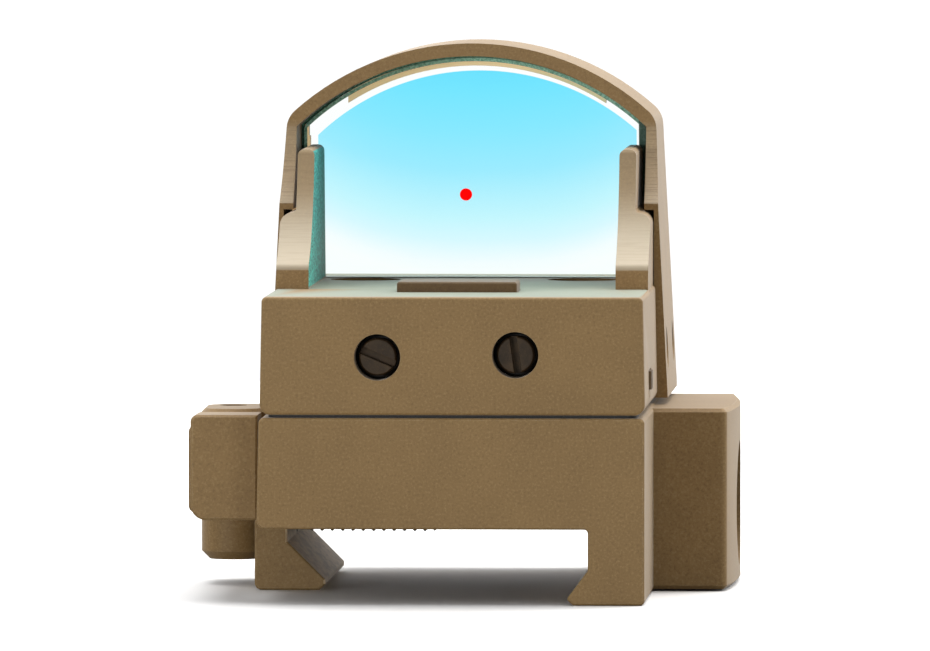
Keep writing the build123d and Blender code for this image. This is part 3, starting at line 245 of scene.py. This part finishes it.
def mill_marks_and_highlight(n, facing, place, colour, normal, mill):
    """Cutter ridges across the swept rear faces and, fainter, on the legs above them; the swept faces
    and legs are also painted paler as a highlight.
    """
    lines = n.noise(1.0, detail=3, rough=0.6, vector=n.stretched(0.25, 0.6, 9.0))
    swept = n.times(
        n.ramp(facing.z, off=0.02, on=0.2),
        n.ramp(n.times(facing.y, -1.0), off=0.15, on=0.4),
        n.ramp_mm(place.z, off=15.8, on=16.2),
    )
    legs = n.times(
        n.ramp(n.times(facing.y, -1.0), off=0.6, on=0.9),
        n.times(n.ramp_mm(place.z, off=20.6, on=21.0), n.ramp_mm(place.z, off=26.5, on=25.5)),
    )
    where = n.math("MAXIMUM", swept, n.times(legs, 0.6))
    # painted highlight: swept faces mixed towards pale grey, most near their foot where they face up
    # most, and the legs a little
    low = n.scaled(n.ramp_mm(place.z, off=22.5, on=18.5), gain=0.55, offset=0.32)
    pale = n.math("MAXIMUM", n.times(swept, low), n.times(legs, 0.3))
    colour = n.mix(pale, colour, lin(176, 164, 142))
    groove = n.times(n.ramp(lines, off=0.5, on=0.62), 0.34 * mill)
    colour = n.overlay(colour, lin(104, 84, 58), where, groove)
    ridges = n.times(where, lines)
    return colour, n.bump(ridges, depth=0.05, strength=0.6 * mill, normal=normal)


def painted_lens_reflection(n, facing, place, colour):
    """Painted reflection of the green lens on the wings' inner walls and the deck, strongest at
    grazing angles; also returns the wall mask.
    """
    walls = n.times(
        n.ramp(n.size(facing.x), off=0.45, on=0.8),
        n.ramp_mm(n.size(place.x), off=10.40, on=10.36),
        n.ramp_mm(n.size(place.x), off=9.8, on=10.0),
        n.ramp_mm(place.z, off=15.35, on=15.55),
    )
    speck = n.noise(5.0, detail=4, rough=0.8, vector=n.stretched(1.0, 0.35, 1.0))
    green = n.mix(n.ramp(speck, off=0.36, on=0.62), lin(10, 84, 78), lin(76, 224, 208))
    forward = n.ramp_mm(place.y, off=y_at(16), on=y_at(33))
    green = n.overlay(green, lin(42, 168, 162), forward, strength=0.55)
    facing_ratio = n.add("ShaderNodeLayerWeight", {"Blend": 0.5}).outputs["Facing"]
    graze = n.ramp(facing_ratio, off=0.80, on=0.93)
    colour = n.overlay(colour, green, walls, n.scaled(graze, gain=0.72, offset=0.18))
    # painted reflection of the lens on the deck, only at grazing angles
    deck = n.times(
        n.ramp(facing.z, off=0.85, on=0.95),
        n.times(n.ramp_mm(place.z, off=15.20, on=15.30), n.ramp_mm(place.z, off=15.50, on=15.40)),
        n.ramp_mm(place.y, off=y_at(0.3), on=y_at(1.6)),
    )
    return n.overlay(colour, lin(122, 140, 124), deck, n.times(graze, 0.75)), walls


def painted_lip_highlight(n, facing, place, colour):
    """Lip around the glass painted pale cream as a highlight; also returns its mask."""
    radius = n.distance(place.x, n.minus(place.z, GLASS_AXIS_Z * MM))
    mask = n.times(
        n.ramp(n.times(facing.y, -1.0), off=0.7, on=0.9),
        n.ramp_mm(place.y, off=y_at(31.5), on=y_at(32.5)),
        n.ramp_mm(radius, off=17.2, on=17.1),
    )
    return n.overlay(colour, lin(250, 226, 186), mask, strength=0.9), mask


def painted_slope_highlight(n, facing, place, colour):
    """Painted highlight on the jaw slope: pale tan in noisy patches."""
    slope = n.times(n.ramp(facing.x, off=0.5, on=0.65), n.ramp_mm(place.z, off=0.1, on=-0.1))
    slope_patches = n.noise(1.0, detail=3, rough=0.6, vector=n.stretched(2.0, 0.5, 2.0))
    amount = n.scaled(n.ramp(slope_patches, off=0.35, on=0.65), gain=0.4, offset=0.6)
    return n.mix(n.times(slope, amount), colour, lin(232, 205, 166))


def tan_coat(name, mill=0.0, lens_reflection=False, lip=False, slope_highlight=False, shade=1.0):
    """Matt hard coat: blasted grain, patchy tone and paler worn edges; mill is a strength."""
    n = new_material(name)
    patch = n.noise(0.16, detail=4, rough=0.6)
    grain = n.noise(5.5, detail=3, rough=0.7)
    fine = n.noise(17.0, detail=2, rough=0.6)
    colour = n.mix(n.ramp(patch, off=0.3, on=0.7), COAT_DARK, COAT_BASE)
    for over, source, off, on, strength in (
        (COAT_LITE, grain, 0.5, 0.68, 0.5),
        (lin(104, 80, 48), grain, 0.46, 0.32, 0.42),
        (lin(88, 68, 41), fine, 0.6, 0.8, 0.4),
    ):
        colour = n.overlay(colour, over, n.ramp(source, off, on), strength)
    wear, rounded = n.edge(radius=0.07)
    rub = n.times(wear, n.ramp(n.noise(1.4, detail=4, rough=0.7), off=0.38, on=0.68))
    colour = n.overlay(colour, lin(214, 194, 160), rub, strength=0.55)
    height = n.scaled(grain, gain=0.7, offset=n.times(fine, 0.45))
    normal = n.bump(height, depth=0.012, strength=0.55, normal=rounded)
    if mill or lens_reflection or lip or slope_highlight:
        facing = n.xyz(n.add("ShaderNodeNewGeometry").outputs["Normal"])
        place = n.xyz(n.coord)
    sheen = SHEEN
    # mill marks, with a painted highlight on the swept faces and legs
    if mill:
        colour, normal = mill_marks_and_highlight(n, facing, place, colour, normal, mill)
    # painted green reflection of the lens on the inner walls and the deck
    if lens_reflection:
        colour, walls = painted_lens_reflection(n, facing, place, colour)
        sheen = n.times(n.minus(1.0, walls), SHEEN)
    # painted highlight on the lip around the glass
    if lip:
        colour, lip_light_mask = painted_lip_highlight(n, facing, place, colour)
    # painted highlight on the jaw's slope
    if slope_highlight:
        colour = painted_slope_highlight(n, facing, place, colour)
    if shade != 1.0:
        colour = n.mix(1.0, colour, (shade, shade, shade, 1.0), blend="MULTIPLY")
    rough = n.minus(n.scaled(grain, gain=0.24, offset=0.48), n.times(rub, 0.12))
    coat = n.principled(
        Base_Color=colour, Roughness=rough, Normal=normal, Specular_IOR_Level=0.34,
        Sheen_Weight=sheen, Sheen_Roughness=0.35, Sheen_Tint=(1.0, 0.97, 0.93, 1.0),
    )
    # painted light: the lip glows faintly so that it looks lit
    if lip:
        coat.inputs["Emission Color"].default_value = lin(255, 214, 160)
        n.put(coat.inputs["Emission Strength"], n.times(lip_light_mask, 0.42))
    return n.done(coat)


# =========================================================== plain materials
def metal(name, colour, dark, rough, streaks=(0.4, 6.0, 6.0), worn=(200, 196, 190),
          metallic=1.0):
    """Metal with worn edges; fine scratches run along the axis with the low streaks value."""
    n = new_material(name)
    tone = n.noise(0.7, detail=4, rough=0.6)
    streak = n.noise(2.0, detail=3, rough=0.6, vector=n.stretched(*streaks))
    base = n.mix(n.ramp(tone, off=0.3, on=0.7), lin(*dark), lin(*colour))
    scratched = lighter(colour, lift=8, gain=1.35)
    base = n.overlay(base, scratched, n.ramp(streak, off=0.5, on=0.75), strength=0.35)
    wear, rounded = n.edge(radius=0.07)
    rub = n.times(wear, n.ramp(n.noise(2.5, detail=3, rough=0.6), off=0.35, on=0.6))
    return n.done(n.principled(
        Base_Color=n.overlay(base, lin(*worn), rub, strength=0.7),
        Roughness=n.scaled(streak, gain=0.25, offset=rough - 0.1),
        Normal=n.bump(streak, depth=0.006, strength=0.5, normal=rounded),
        Metallic=metallic,
    ))


def rubber(name, colour, lite):
    n = new_material(name)
    grain = n.noise(6.0, detail=4, rough=0.7)
    return n.done(n.principled(
        Base_Color=n.mix(n.ramp(grain, off=0.4, on=0.7), lin(*colour), lin(*lite)),
        Roughness=n.scaled(grain, gain=0.2, offset=0.5),
        Normal=n.bump(grain, depth=0.01, strength=0.5),
    ))


def plastic(name, colour, lite, rough=0.45, coat=0.0):
    n = new_material(name)
    grain = n.noise(9.0, detail=3, rough=0.6)
    cloud = n.noise(0.5, detail=3, rough=0.5)
    base = n.mix(n.ramp(cloud, off=0.3, on=0.7), lin(*colour), lin(*lite))
    wear, rounded = n.edge(radius=0.08)
    return n.done(n.principled(
        Base_Color=n.overlay(base, lighter(lite, lift=45), wear, strength=0.3),
        Roughness=n.scaled(grain, gain=0.15, offset=rough - 0.08),
        Normal=n.bump(grain, depth=0.008, strength=0.4, normal=rounded),
        Coat_Weight=coat,
    ))


def circuit(name):
    """Solder mask with copper tracks showing through as a paler green."""
    n = new_material(name)
    cells = n.add("ShaderNodeTexVoronoi", {"Vector": n.coord, "Scale": 700.0},
                  feature="DISTANCE_TO_EDGE", distance="MANHATTAN")
    track = n.ramp(cells.outputs["Distance"], off=0.05, on=0.09)
    colour = n.mix(track, lin(58, 132, 74), lin(16, 74, 38))
    stain = n.ramp(n.noise(4.0), off=0.45, on=0.7)
    return n.done(n.principled(
        Base_Color=n.overlay(colour, lin(8, 48, 26), stain, strength=0.2),
        Roughness=0.35, Normal=n.bump(track, depth=0.02, strength=0.5),
    ))


# ===================================================================== glass
GLASS_IOR = 1.5
# coated area: an arch over straight sides
ARCH_X, ARCH_Z, ARCH_R = 0.35, 13.52, 16.0
SIDES_X, SIDES_HALF = 0.15, 10.82
TINT_HEIGHT = 14.2      # from the lens foot to the end of the tint
TINT_HALF_WIDTH = 10.65
# light let through: (place from foot 0 to top 1, RGB)
TINT = [
    (0.00, (0.940, 0.990, 0.985)), (0.06, (0.888, 0.973, 0.991)), (0.17, (0.672, 0.930, 1.0)),
    (0.27, (0.552, 0.913, 0.985)), (0.51, (0.332, 0.823, 0.991)), (0.70, (0.242, 0.799, 0.998)),
    (0.89, (0.180, 0.776, 0.998)), (1.00, (0.150, 0.750, 0.985)),
]


def lens_tint(n, place, rear):
    """Coating on the rear face: sky blue at the top, clear at the foot, with a bare rim."""
    from_arch = n.minus(place.x, ARCH_X * MM)
    radius = n.distance(from_arch, n.minus(place.z, ARCH_Z * MM))
    width = n.size(n.minus(place.x, SIDES_X * MM))
    coated = n.times(n.ramp_mm(radius, off=ARCH_R + 0.06, on=ARCH_R),
                     n.ramp_mm(width, off=SIDES_HALF + 0.06, on=SIDES_HALF))
    # paler towards the sides, with a faint ragged cloud
    across = n.times(n.size(from_arch), 1000.0 / TINT_HALF_WIDTH)
    side = n.times(n.math("POWER", across, 2.4), 0.16)
    height = n.times(n.minus(place.z, LENS_FOOT_Z * MM), 1000.0 / TINT_HEIGHT)
    cloud = n.times(n.minus(n.noise(0.08, detail=3, rough=0.5), 0.5), 0.05)
    level = n.math("ADD", n.minus(height, side), cloud, clamp=True)
    ramp = n.add("ShaderNodeValToRGB", {"Fac": level})
    stops = ramp.color_ramp.elements
    while len(stops) < len(TINT):
        stops.new(0.5)
    for stop, (position, rgb) in zip(stops, TINT):
        stop.position = position
        stop.color = (*rgb, 1.0)
    return n.mix(n.times(coated, rear), (0.985, 1.0, 0.992, 1.0), ramp.outputs["Color"])


def lens_glass(name):
    """Clear glass, coated on the rear face, with a frosted green ground edge."""
    n = new_material(name)
    place = n.xyz(n.coord)
    geometry = n.add("ShaderNodeNewGeometry")
    backfacing = geometry.outputs["Backfacing"]
    normal_y = n.xyz(geometry.outputs["True Normal"]).y
    # the shading normal turns towards the viewer inside the glass, so turn it back
    normal_y = n.times(normal_y, n.scaled(backfacing, gain=-2.0, offset=1.0))
    rear = n.ramp(n.times(normal_y, -1.0), off=0.5, on=0.6)
    clear = n.add("ShaderNodeBsdfTransparent", {"Color": lens_tint(n, place, rear)})
    # from the front the coat throws back a warm copper colour
    gloss = n.add("ShaderNodeBsdfGlossy", {
        "Roughness": 0.02, "Color": n.mix(rear, lin(255, 176, 120), lin(205, 240, 255)),
    })
    fresnel = n.add("ShaderNodeFresnel", {"IOR": GLASS_IOR}).outputs[0]
    mirror = n.times(fresnel, n.minus(1.0, n.times(rear, 0.75)))
    outer = n.times(n.minus(1.0, rear), n.minus(1.0, backfacing))
    face = n.mix_shader(n.math("ADD", mirror, n.times(outer, 0.12)), clear, gloss)

    # ground edge and bevel; along the right side a dark strip of painted shade
    radius = n.distance(place.x, n.minus(place.z, GLASS_AXIS_Z * MM))
    ring = n.math("MAXIMUM", n.ramp_mm(radius, off=16.66, on=16.70),
                  n.ramp_mm(n.size(place.x), off=11.42, on=11.46))
    right = n.ramp_mm(place.x, off=11.12, on=11.18)
    ring = n.times(n.math("MAXIMUM", ring, right), rear)
    rim = n.math("MAXIMUM", ring, n.ramp(n.size(normal_y), off=0.6, on=0.45))
    frost = n.noise(6.0, detail=4, rough=0.7)
    green = n.mix(n.ramp(frost, off=0.35, on=0.65), lin(104, 168, 148), lin(172, 226, 206))
    ground = n.principled(
        Base_Color=n.overlay(green, lin(40, 52, 44), right, strength=0.8),
        Roughness=0.35, Normal=n.bump(frost, depth=0.02, strength=0.6),
    )
    return n.done(n.mix_shader(rim, face, ground))


def clear_glass(name):
    n = new_material(name)
    clear = n.add("ShaderNodeBsdfTransparent", {"Color": (0.93, 0.97, 0.96, 1)})
    smear = n.scaled(n.noise(3.0), gain=0.05, offset=0.01)
    gloss = n.add("ShaderNodeBsdfGlossy", {"Roughness": smear})
    fresnel = n.add("ShaderNodeFresnel", {"IOR": GLASS_IOR})
    return n.done(n.mix_shader(fresnel.outputs[0], clear, gloss))


def glow(name, colour, strength):
    """Light seen only from the user's side of the lens."""
    n = new_material(name)
    cloud = n.ramp(n.noise(3.0, detail=2, rough=0.4), off=0.2, on=0.8)
    light = n.add("ShaderNodeEmission", {
        "Color": n.mix(cloud, lin(*colour), lighter(colour, lift=4)), "Strength": strength,
    })
    to_viewer = n.xyz(n.add("ShaderNodeNewGeometry").outputs["Incoming"])
    clear = n.add("ShaderNodeBsdfTransparent")
    return n.done(n.mix_shader(n.ramp(to_viewer.y, off=-0.05, on=0.05), light, clear))


MATERIALS = {
    "tan": tan_coat("tan_coat_plain"),
    # housing: milled coat with a painted highlight and a painted reflection of the lens
    "tan_mill_painted_light": tan_coat("tan_coat_milled_painted_light", mill=0.3, lens_reflection=True),
    # hood: milled coat with a painted highlight, and a painted highlight and glow on the lip
    "tan_hood": tan_coat("tan_coat_hood", mill=1.0, lip=True),
    # jaw coat with a painted highlight on its slope
    "tan_jaw": tan_coat("tan_coat_jaw", slope_highlight=True),
    "tan_cover": tan_coat("tan_coat_cover", shade=0.42),
    "steel": metal("black_oxide_steel", (58, 50, 42), (36, 31, 26), rough=0.42),
    "screw": metal("bronzed_screw", (66, 50, 30), (38, 28, 15), rough=0.5,
                   streaks=(6.0, 0.4, 6.0), worn=(112, 90, 58), metallic=0.45),
    "bright": metal("bright_steel", (196, 196, 198), (150, 150, 154), rough=0.28),
    "brass": metal("machined_brass", (206, 168, 92), (158, 120, 58), rough=0.3,
                   worn=(240, 214, 150)),
    "alloy": metal("milled_alloy", (190, 192, 196), (150, 152, 158), rough=0.38),
    "rubber": rubber("black_rubber", (26, 25, 24), (48, 46, 44)),
    "bead": rubber("green_adhesive_bead", (64, 118, 100), (116, 176, 152)),
    "brown": plastic("brown_moulding", (92, 72, 48), (120, 96, 66)),
    "black": plastic("black_moulding", (28, 27, 26), (44, 42, 40)),
    "board": circuit("solder_mask"),
    "lens": lens_glass("coated_lens_glass"),
    "glass": clear_glass("window_glass"),
    "led": plastic("led_red_lens", (176, 20, 12), (214, 40, 24), rough=0.25, coat=0.6),
}
# CAD pieces made of each material
PIECES = {
    "tan": "mount_base cam_lever bottom_cover",
    "tan_mill_painted_light": "housing",
    "tan_hood": "lens_hood",
    "tan_jaw": "clamp_jaw",
    "tan_cover": "emitter_cover",
    "steel": "draw_bolt tension_nut nut_washer lever_pivot_pin mounting_screws hood_screws "
             "cover_screws",
    "screw": "elevation_adjuster windage_adjuster",
    "bright": "guide_pins locating_pins jaw_springs elevation_spring windage_spring "
              "elevation_clip windage_clip coin_cell",
    "brass": "elevation_wedge windage_wedge negative_contact positive_contact",
    "alloy": "windage_carriage emitter_carriage",
    "rubber": "adjuster_orings mounting_gasket cover_gasket",
    "bead": "lens_seal",
    "brown": "power_switch",
    "black": "reticle_mask board_chips light_sensor switch_body",
    "board": "circuit_board",
    "lens": "objective_lens",
    "glass": "emitter_window sensor_window",
    "led": "led_emitter",
}
PIECE_MATERIAL = {
    piece: MATERIALS[key] for key, pieces in PIECES.items() for piece in pieces.split()
}


# ==================================================================== meshes
def give(obj, material):
    obj.data.materials.clear()
    obj.data.materials.append(material)


def smooth(mesh, degrees):
    """Smooth shading with sharp edges above an angle."""
    bm = bmesh.new()
    bm.from_mesh(mesh)
    for face in bm.faces:
        face.smooth = True
    for edge in bm.edges:
        sharp = len(edge.link_faces) == 2 and edge.calc_face_angle(0.0) > math.radians(degrees)
        edge.smooth = not sharp
    bm.to_mesh(mesh)
    bm.free()


def refine(piece, bevel, degrees=26.0):
    """Skin over a CAD piece: welded, flats merged, edges rounded by bevel mm."""
    source = frame["nodes"][piece]
    bm = bmesh.new()
    bm.from_mesh(source.data)
    bmesh.ops.remove_doubles(bm, verts=bm.verts, dist=2e-7)
    bmesh.ops.dissolve_degenerate(bm, dist=1e-7, edges=bm.edges)
    bmesh.ops.dissolve_limit(bm, angle_limit=math.radians(0.6), verts=bm.verts,
                             edges=bm.edges, use_dissolve_boundaries=False)
    mesh = bpy.data.meshes.new(piece + "_skin")
    bm.to_mesh(mesh)
    bm.free()
    obj = add_object(piece + "_skin", mesh)
    smooth(mesh, degrees)
    if bevel:
        rounding = obj.modifiers.new("edges", "BEVEL")
        rounding.width = bevel * MM
        rounding.segments = 2
        rounding.limit_method = "ANGLE"
        rounding.angle_limit = math.radians(32.0)
        rounding.use_clamp_overlap = True
        rounding.harden_normals = True
        rounding.miter_outer = "MITER_ARC"
    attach(obj, source["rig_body"])
    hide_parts(piece)
    give(obj, PIECE_MATERIAL[piece])
    return obj


# coil springs, each given its own mesh copy: joint, axis, anchor in metres, share kept
COILS = {
    "elevation_spring": ("elevation_lift", (0, 0, 1), (0.0, y_at(10.6) * MM, 0.01570), 0.80),
    "windage_spring": ("windage_shift", (1, 0, 0), (-0.00725, y_at(11.2) * MM, 0.01255), 0.89),
}
# edge rounding in mm
BEVELS = {
    "mount_base": 0.07, "clamp_jaw": 0.06, "cam_lever": 0.07,
    "housing": 0.05, "lens_hood": 0.05, "emitter_cover": 0.05,
    "tension_nut": 0.08, "elevation_adjuster": 0.04, "windage_adjuster": 0.04,
}
ROUND_PIECES = ("objective_lens", "jaw_springs", "adjuster_orings")

for piece, (joint, axis, anchor, keep) in COILS.items():
    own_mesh(refine(piece, bevel=0.0, degrees=60.0))
for piece, bevel in BEVELS.items():
    refine(piece, bevel)

# the other pieces show their CAD mesh, smooth-shaded only where round
for piece, obj in frame["nodes"].items():
    if piece in COILS or piece in BEVELS:
        continue
    give(obj, PIECE_MATERIAL[piece])
    for polygon in obj.data.polygons:
        polygon.use_smooth = piece in ROUND_PIECES

# ================================================================ aiming dot
BOWL_R = 55.0           # hollow rear face of the lens
BOWL_DEPTH = 0.9
LENS_TILT = math.radians(9.46)
LENS_FOOT_DEPTH = 33.6
LENS_MID_Z = 22.8
DOT_X, DOT_Z, DOT_R = -0.69, 21.05, 0.42
DOT_LIFT, DOT_DOME = 0.15, 0.02     # edge's lift off the glass, and extra at the middle
DOT_RINGS, DOT_SEGMENTS = 6, 64

mid_depth = LENS_FOOT_DEPTH - (LENS_MID_Z - LENS_FOOT_Z) * math.tan(LENS_TILT)
bowl_centre = (Vector((0.0, y_at(mid_depth), LENS_MID_Z))
               + Vector((0.0, -math.cos(LENS_TILT), -math.sin(LENS_TILT))) * (BOWL_R - BOWL_DEPTH))


def bowl_point(x, z, lift):
    """Point in mm on the lens's hollow rear face, lifted towards the user."""
    reach = (BOWL_R - lift) ** 2 - (x - bowl_centre.x) ** 2 - (z - bowl_centre.z) ** 2
    return Vector((x, bowl_centre.y + math.sqrt(reach), z))


def dot_ring(bm, radius, lift):
    angles = (2 * math.pi * k / DOT_SEGMENTS for k in range(DOT_SEGMENTS))
    return [
        bm.verts.new(bowl_point(DOT_X + radius * math.cos(a), DOT_Z + radius * math.sin(a), lift) * MM)
        for a in angles
    ]


def aiming_dot():
    """Slightly domed disc floating just behind the glass."""
    bm = bmesh.new()
    centre = bm.verts.new(bowl_point(DOT_X, DOT_Z, DOT_LIFT + DOT_DOME) * MM)
    rings = [
        dot_ring(bm, DOT_R * i / DOT_RINGS,
                 DOT_LIFT + DOT_DOME * math.cos(0.5 * math.pi * i / DOT_RINGS))
        for i in range(1, DOT_RINGS + 1)
    ]
    rings.append(dot_ring(bm, DOT_R * 0.96, DOT_LIFT - 0.02))
    for k in range(DOT_SEGMENTS):
        bm.faces.new((centre, rings[0][k], rings[0][(k + 1) % DOT_SEGMENTS]))
    for inner, outer in zip(rings, rings[1:]):
        for k in range(DOT_SEGMENTS):
            j = (k + 1) % DOT_SEGMENTS
            bm.faces.new((inner[k], outer[k], outer[j], inner[j]))
    bm.faces.new(list(reversed(rings[-1])))
    bmesh.ops.recalc_face_normals(bm, faces=bm.faces)
    mesh = bpy.data.meshes.new("aiming_dot")
    bm.to_mesh(mesh)
    bm.free()
    for polygon in mesh.polygons:
        polygon.use_smooth = True
    dot = add_object("aiming_dot", mesh)
    give(dot, glow("dot_glow", (250, 4, 2), strength=1.15))
    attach(dot, "emitter_stage")


aiming_dot()


# ===================================================================== stage
def floor_material():
    """Pale to the camera, darker to the light it bounces."""
    n = new_material("pale_floor")
    cloud = n.ramp(n.noise(0.02, detail=3, rough=0.5), off=0.3, on=0.7)
    pale = n.mix(cloud, (0.93, 0.93, 0.93, 1), (0.95, 0.95, 0.95, 1))
    seen = n.add("ShaderNodeLightPath").outputs["Is Camera Ray"]
    colour = n.mix(seen, (0.26, 0.255, 0.245, 1), pale)
    return n.done(n.principled(Base_Color=colour, Roughness=0.6, Specular_IOR_Level=0.2))


# floor in metres
FLOOR_HALF, FLOOR_FRONT = 1.5, 0.3
FLOOR_Z = CAD_LO[2] - 0.00002
mesh = bpy.data.meshes.new("floor")
mesh.from_pydata([
    (-FLOOR_HALF, -FLOOR_HALF, FLOOR_Z), (FLOOR_HALF, -FLOOR_HALF, FLOOR_Z),
    (FLOOR_HALF, FLOOR_FRONT, FLOOR_Z), (-FLOOR_HALF, FLOOR_FRONT, FLOOR_Z),
], [], [(0, 1, 2, 3)])
floor = add_object("floor", mesh)
give(floor, floor_material())
floor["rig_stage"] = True


def studio_world():
    """White surround, brightest ahead and above; even where the camera sees it."""
    world = bpy.data.worlds.new("studio")
    bpy.context.scene.world = world
    n = Nodes(world, output="ShaderNodeOutputWorld", coordinates="Generated")
    direction = n.xyz(n.coord)
    ahead = n.ramp(direction.y, off=-0.45, on=0.6, bottom=0.06, top=1.3)
    above = n.ramp(direction.z, off=0.05, on=0.9, top=0.6)
    seen = n.add("ShaderNodeLightPath").outputs["Is Camera Ray"]
    strength = n.add("ShaderNodeMix", data_type="FLOAT", inputs={
        0: seen, 2: n.math("ADD", ahead, above), 3: 1.07,
    })
    n.done(n.add("ShaderNodeBackground", {
        "Strength": strength.outputs[0], "Color": (1, 1, 1, 1),
    }))


studio_world()

LIGHT_TARGET = Vector((0, -0.005, 0.012))
# name, place (m), size (m), power (W)
for name, place, size, power in (
    ("top_soft", (0.02, 0.12, 0.55), (0.6, 0.5), 3.3),
    ("back_right", (0.42, 0.22, 0.3), (0.35, 0.35), 1.1),
    ("left_front", (-0.30, -0.62, 0.035), (0.3, 0.07), 1.45),
    ("right_front", (0.34, -0.6, 0.03), (0.2, 0.06), 0.5),
):
    data = bpy.data.lights.new(name, "AREA")
    data.shape = "RECTANGLE"
    data.size, data.size_y = size
    data.energy = power
    light = add_object(name, data)
    light.location = place
    light.rotation_mode = "QUATERNION"
    light.rotation_quaternion = (LIGHT_TARGET - Vector(place)).to_track_quat("-Z", "Y")

# camera behind the sight, a little to its right and above
AZIMUTH, ELEVATION = math.radians(2.776), math.radians(2.36)
CAMERA_DISTANCE = 1.0   # metres
camera_target = Vector((0.86, REAR_Y, 13.49)) * MM
to_camera = Vector((
    math.sin(AZIMUTH) * math.cos(ELEVATION),
    -math.cos(AZIMUTH) * math.cos(ELEVATION),
    math.sin(ELEVATION),
))
data = bpy.data.cameras.new("camera")
data.sensor_fit = "HORIZONTAL"
data.sensor_width = 36.0
data.lens = 586.83871
data.clip_start, data.clip_end = 0.05, 50.0
camera = add_object("camera", data)
camera.location = camera_target + to_camera * CAMERA_DISTANCE
camera.rotation_mode = "QUATERNION"
camera.rotation_quaternion = (-to_camera).to_track_quat("-Z", "Y")
bpy.context.scene.camera = camera
bpy.context.scene.view_settings.view_transform = "Standard"
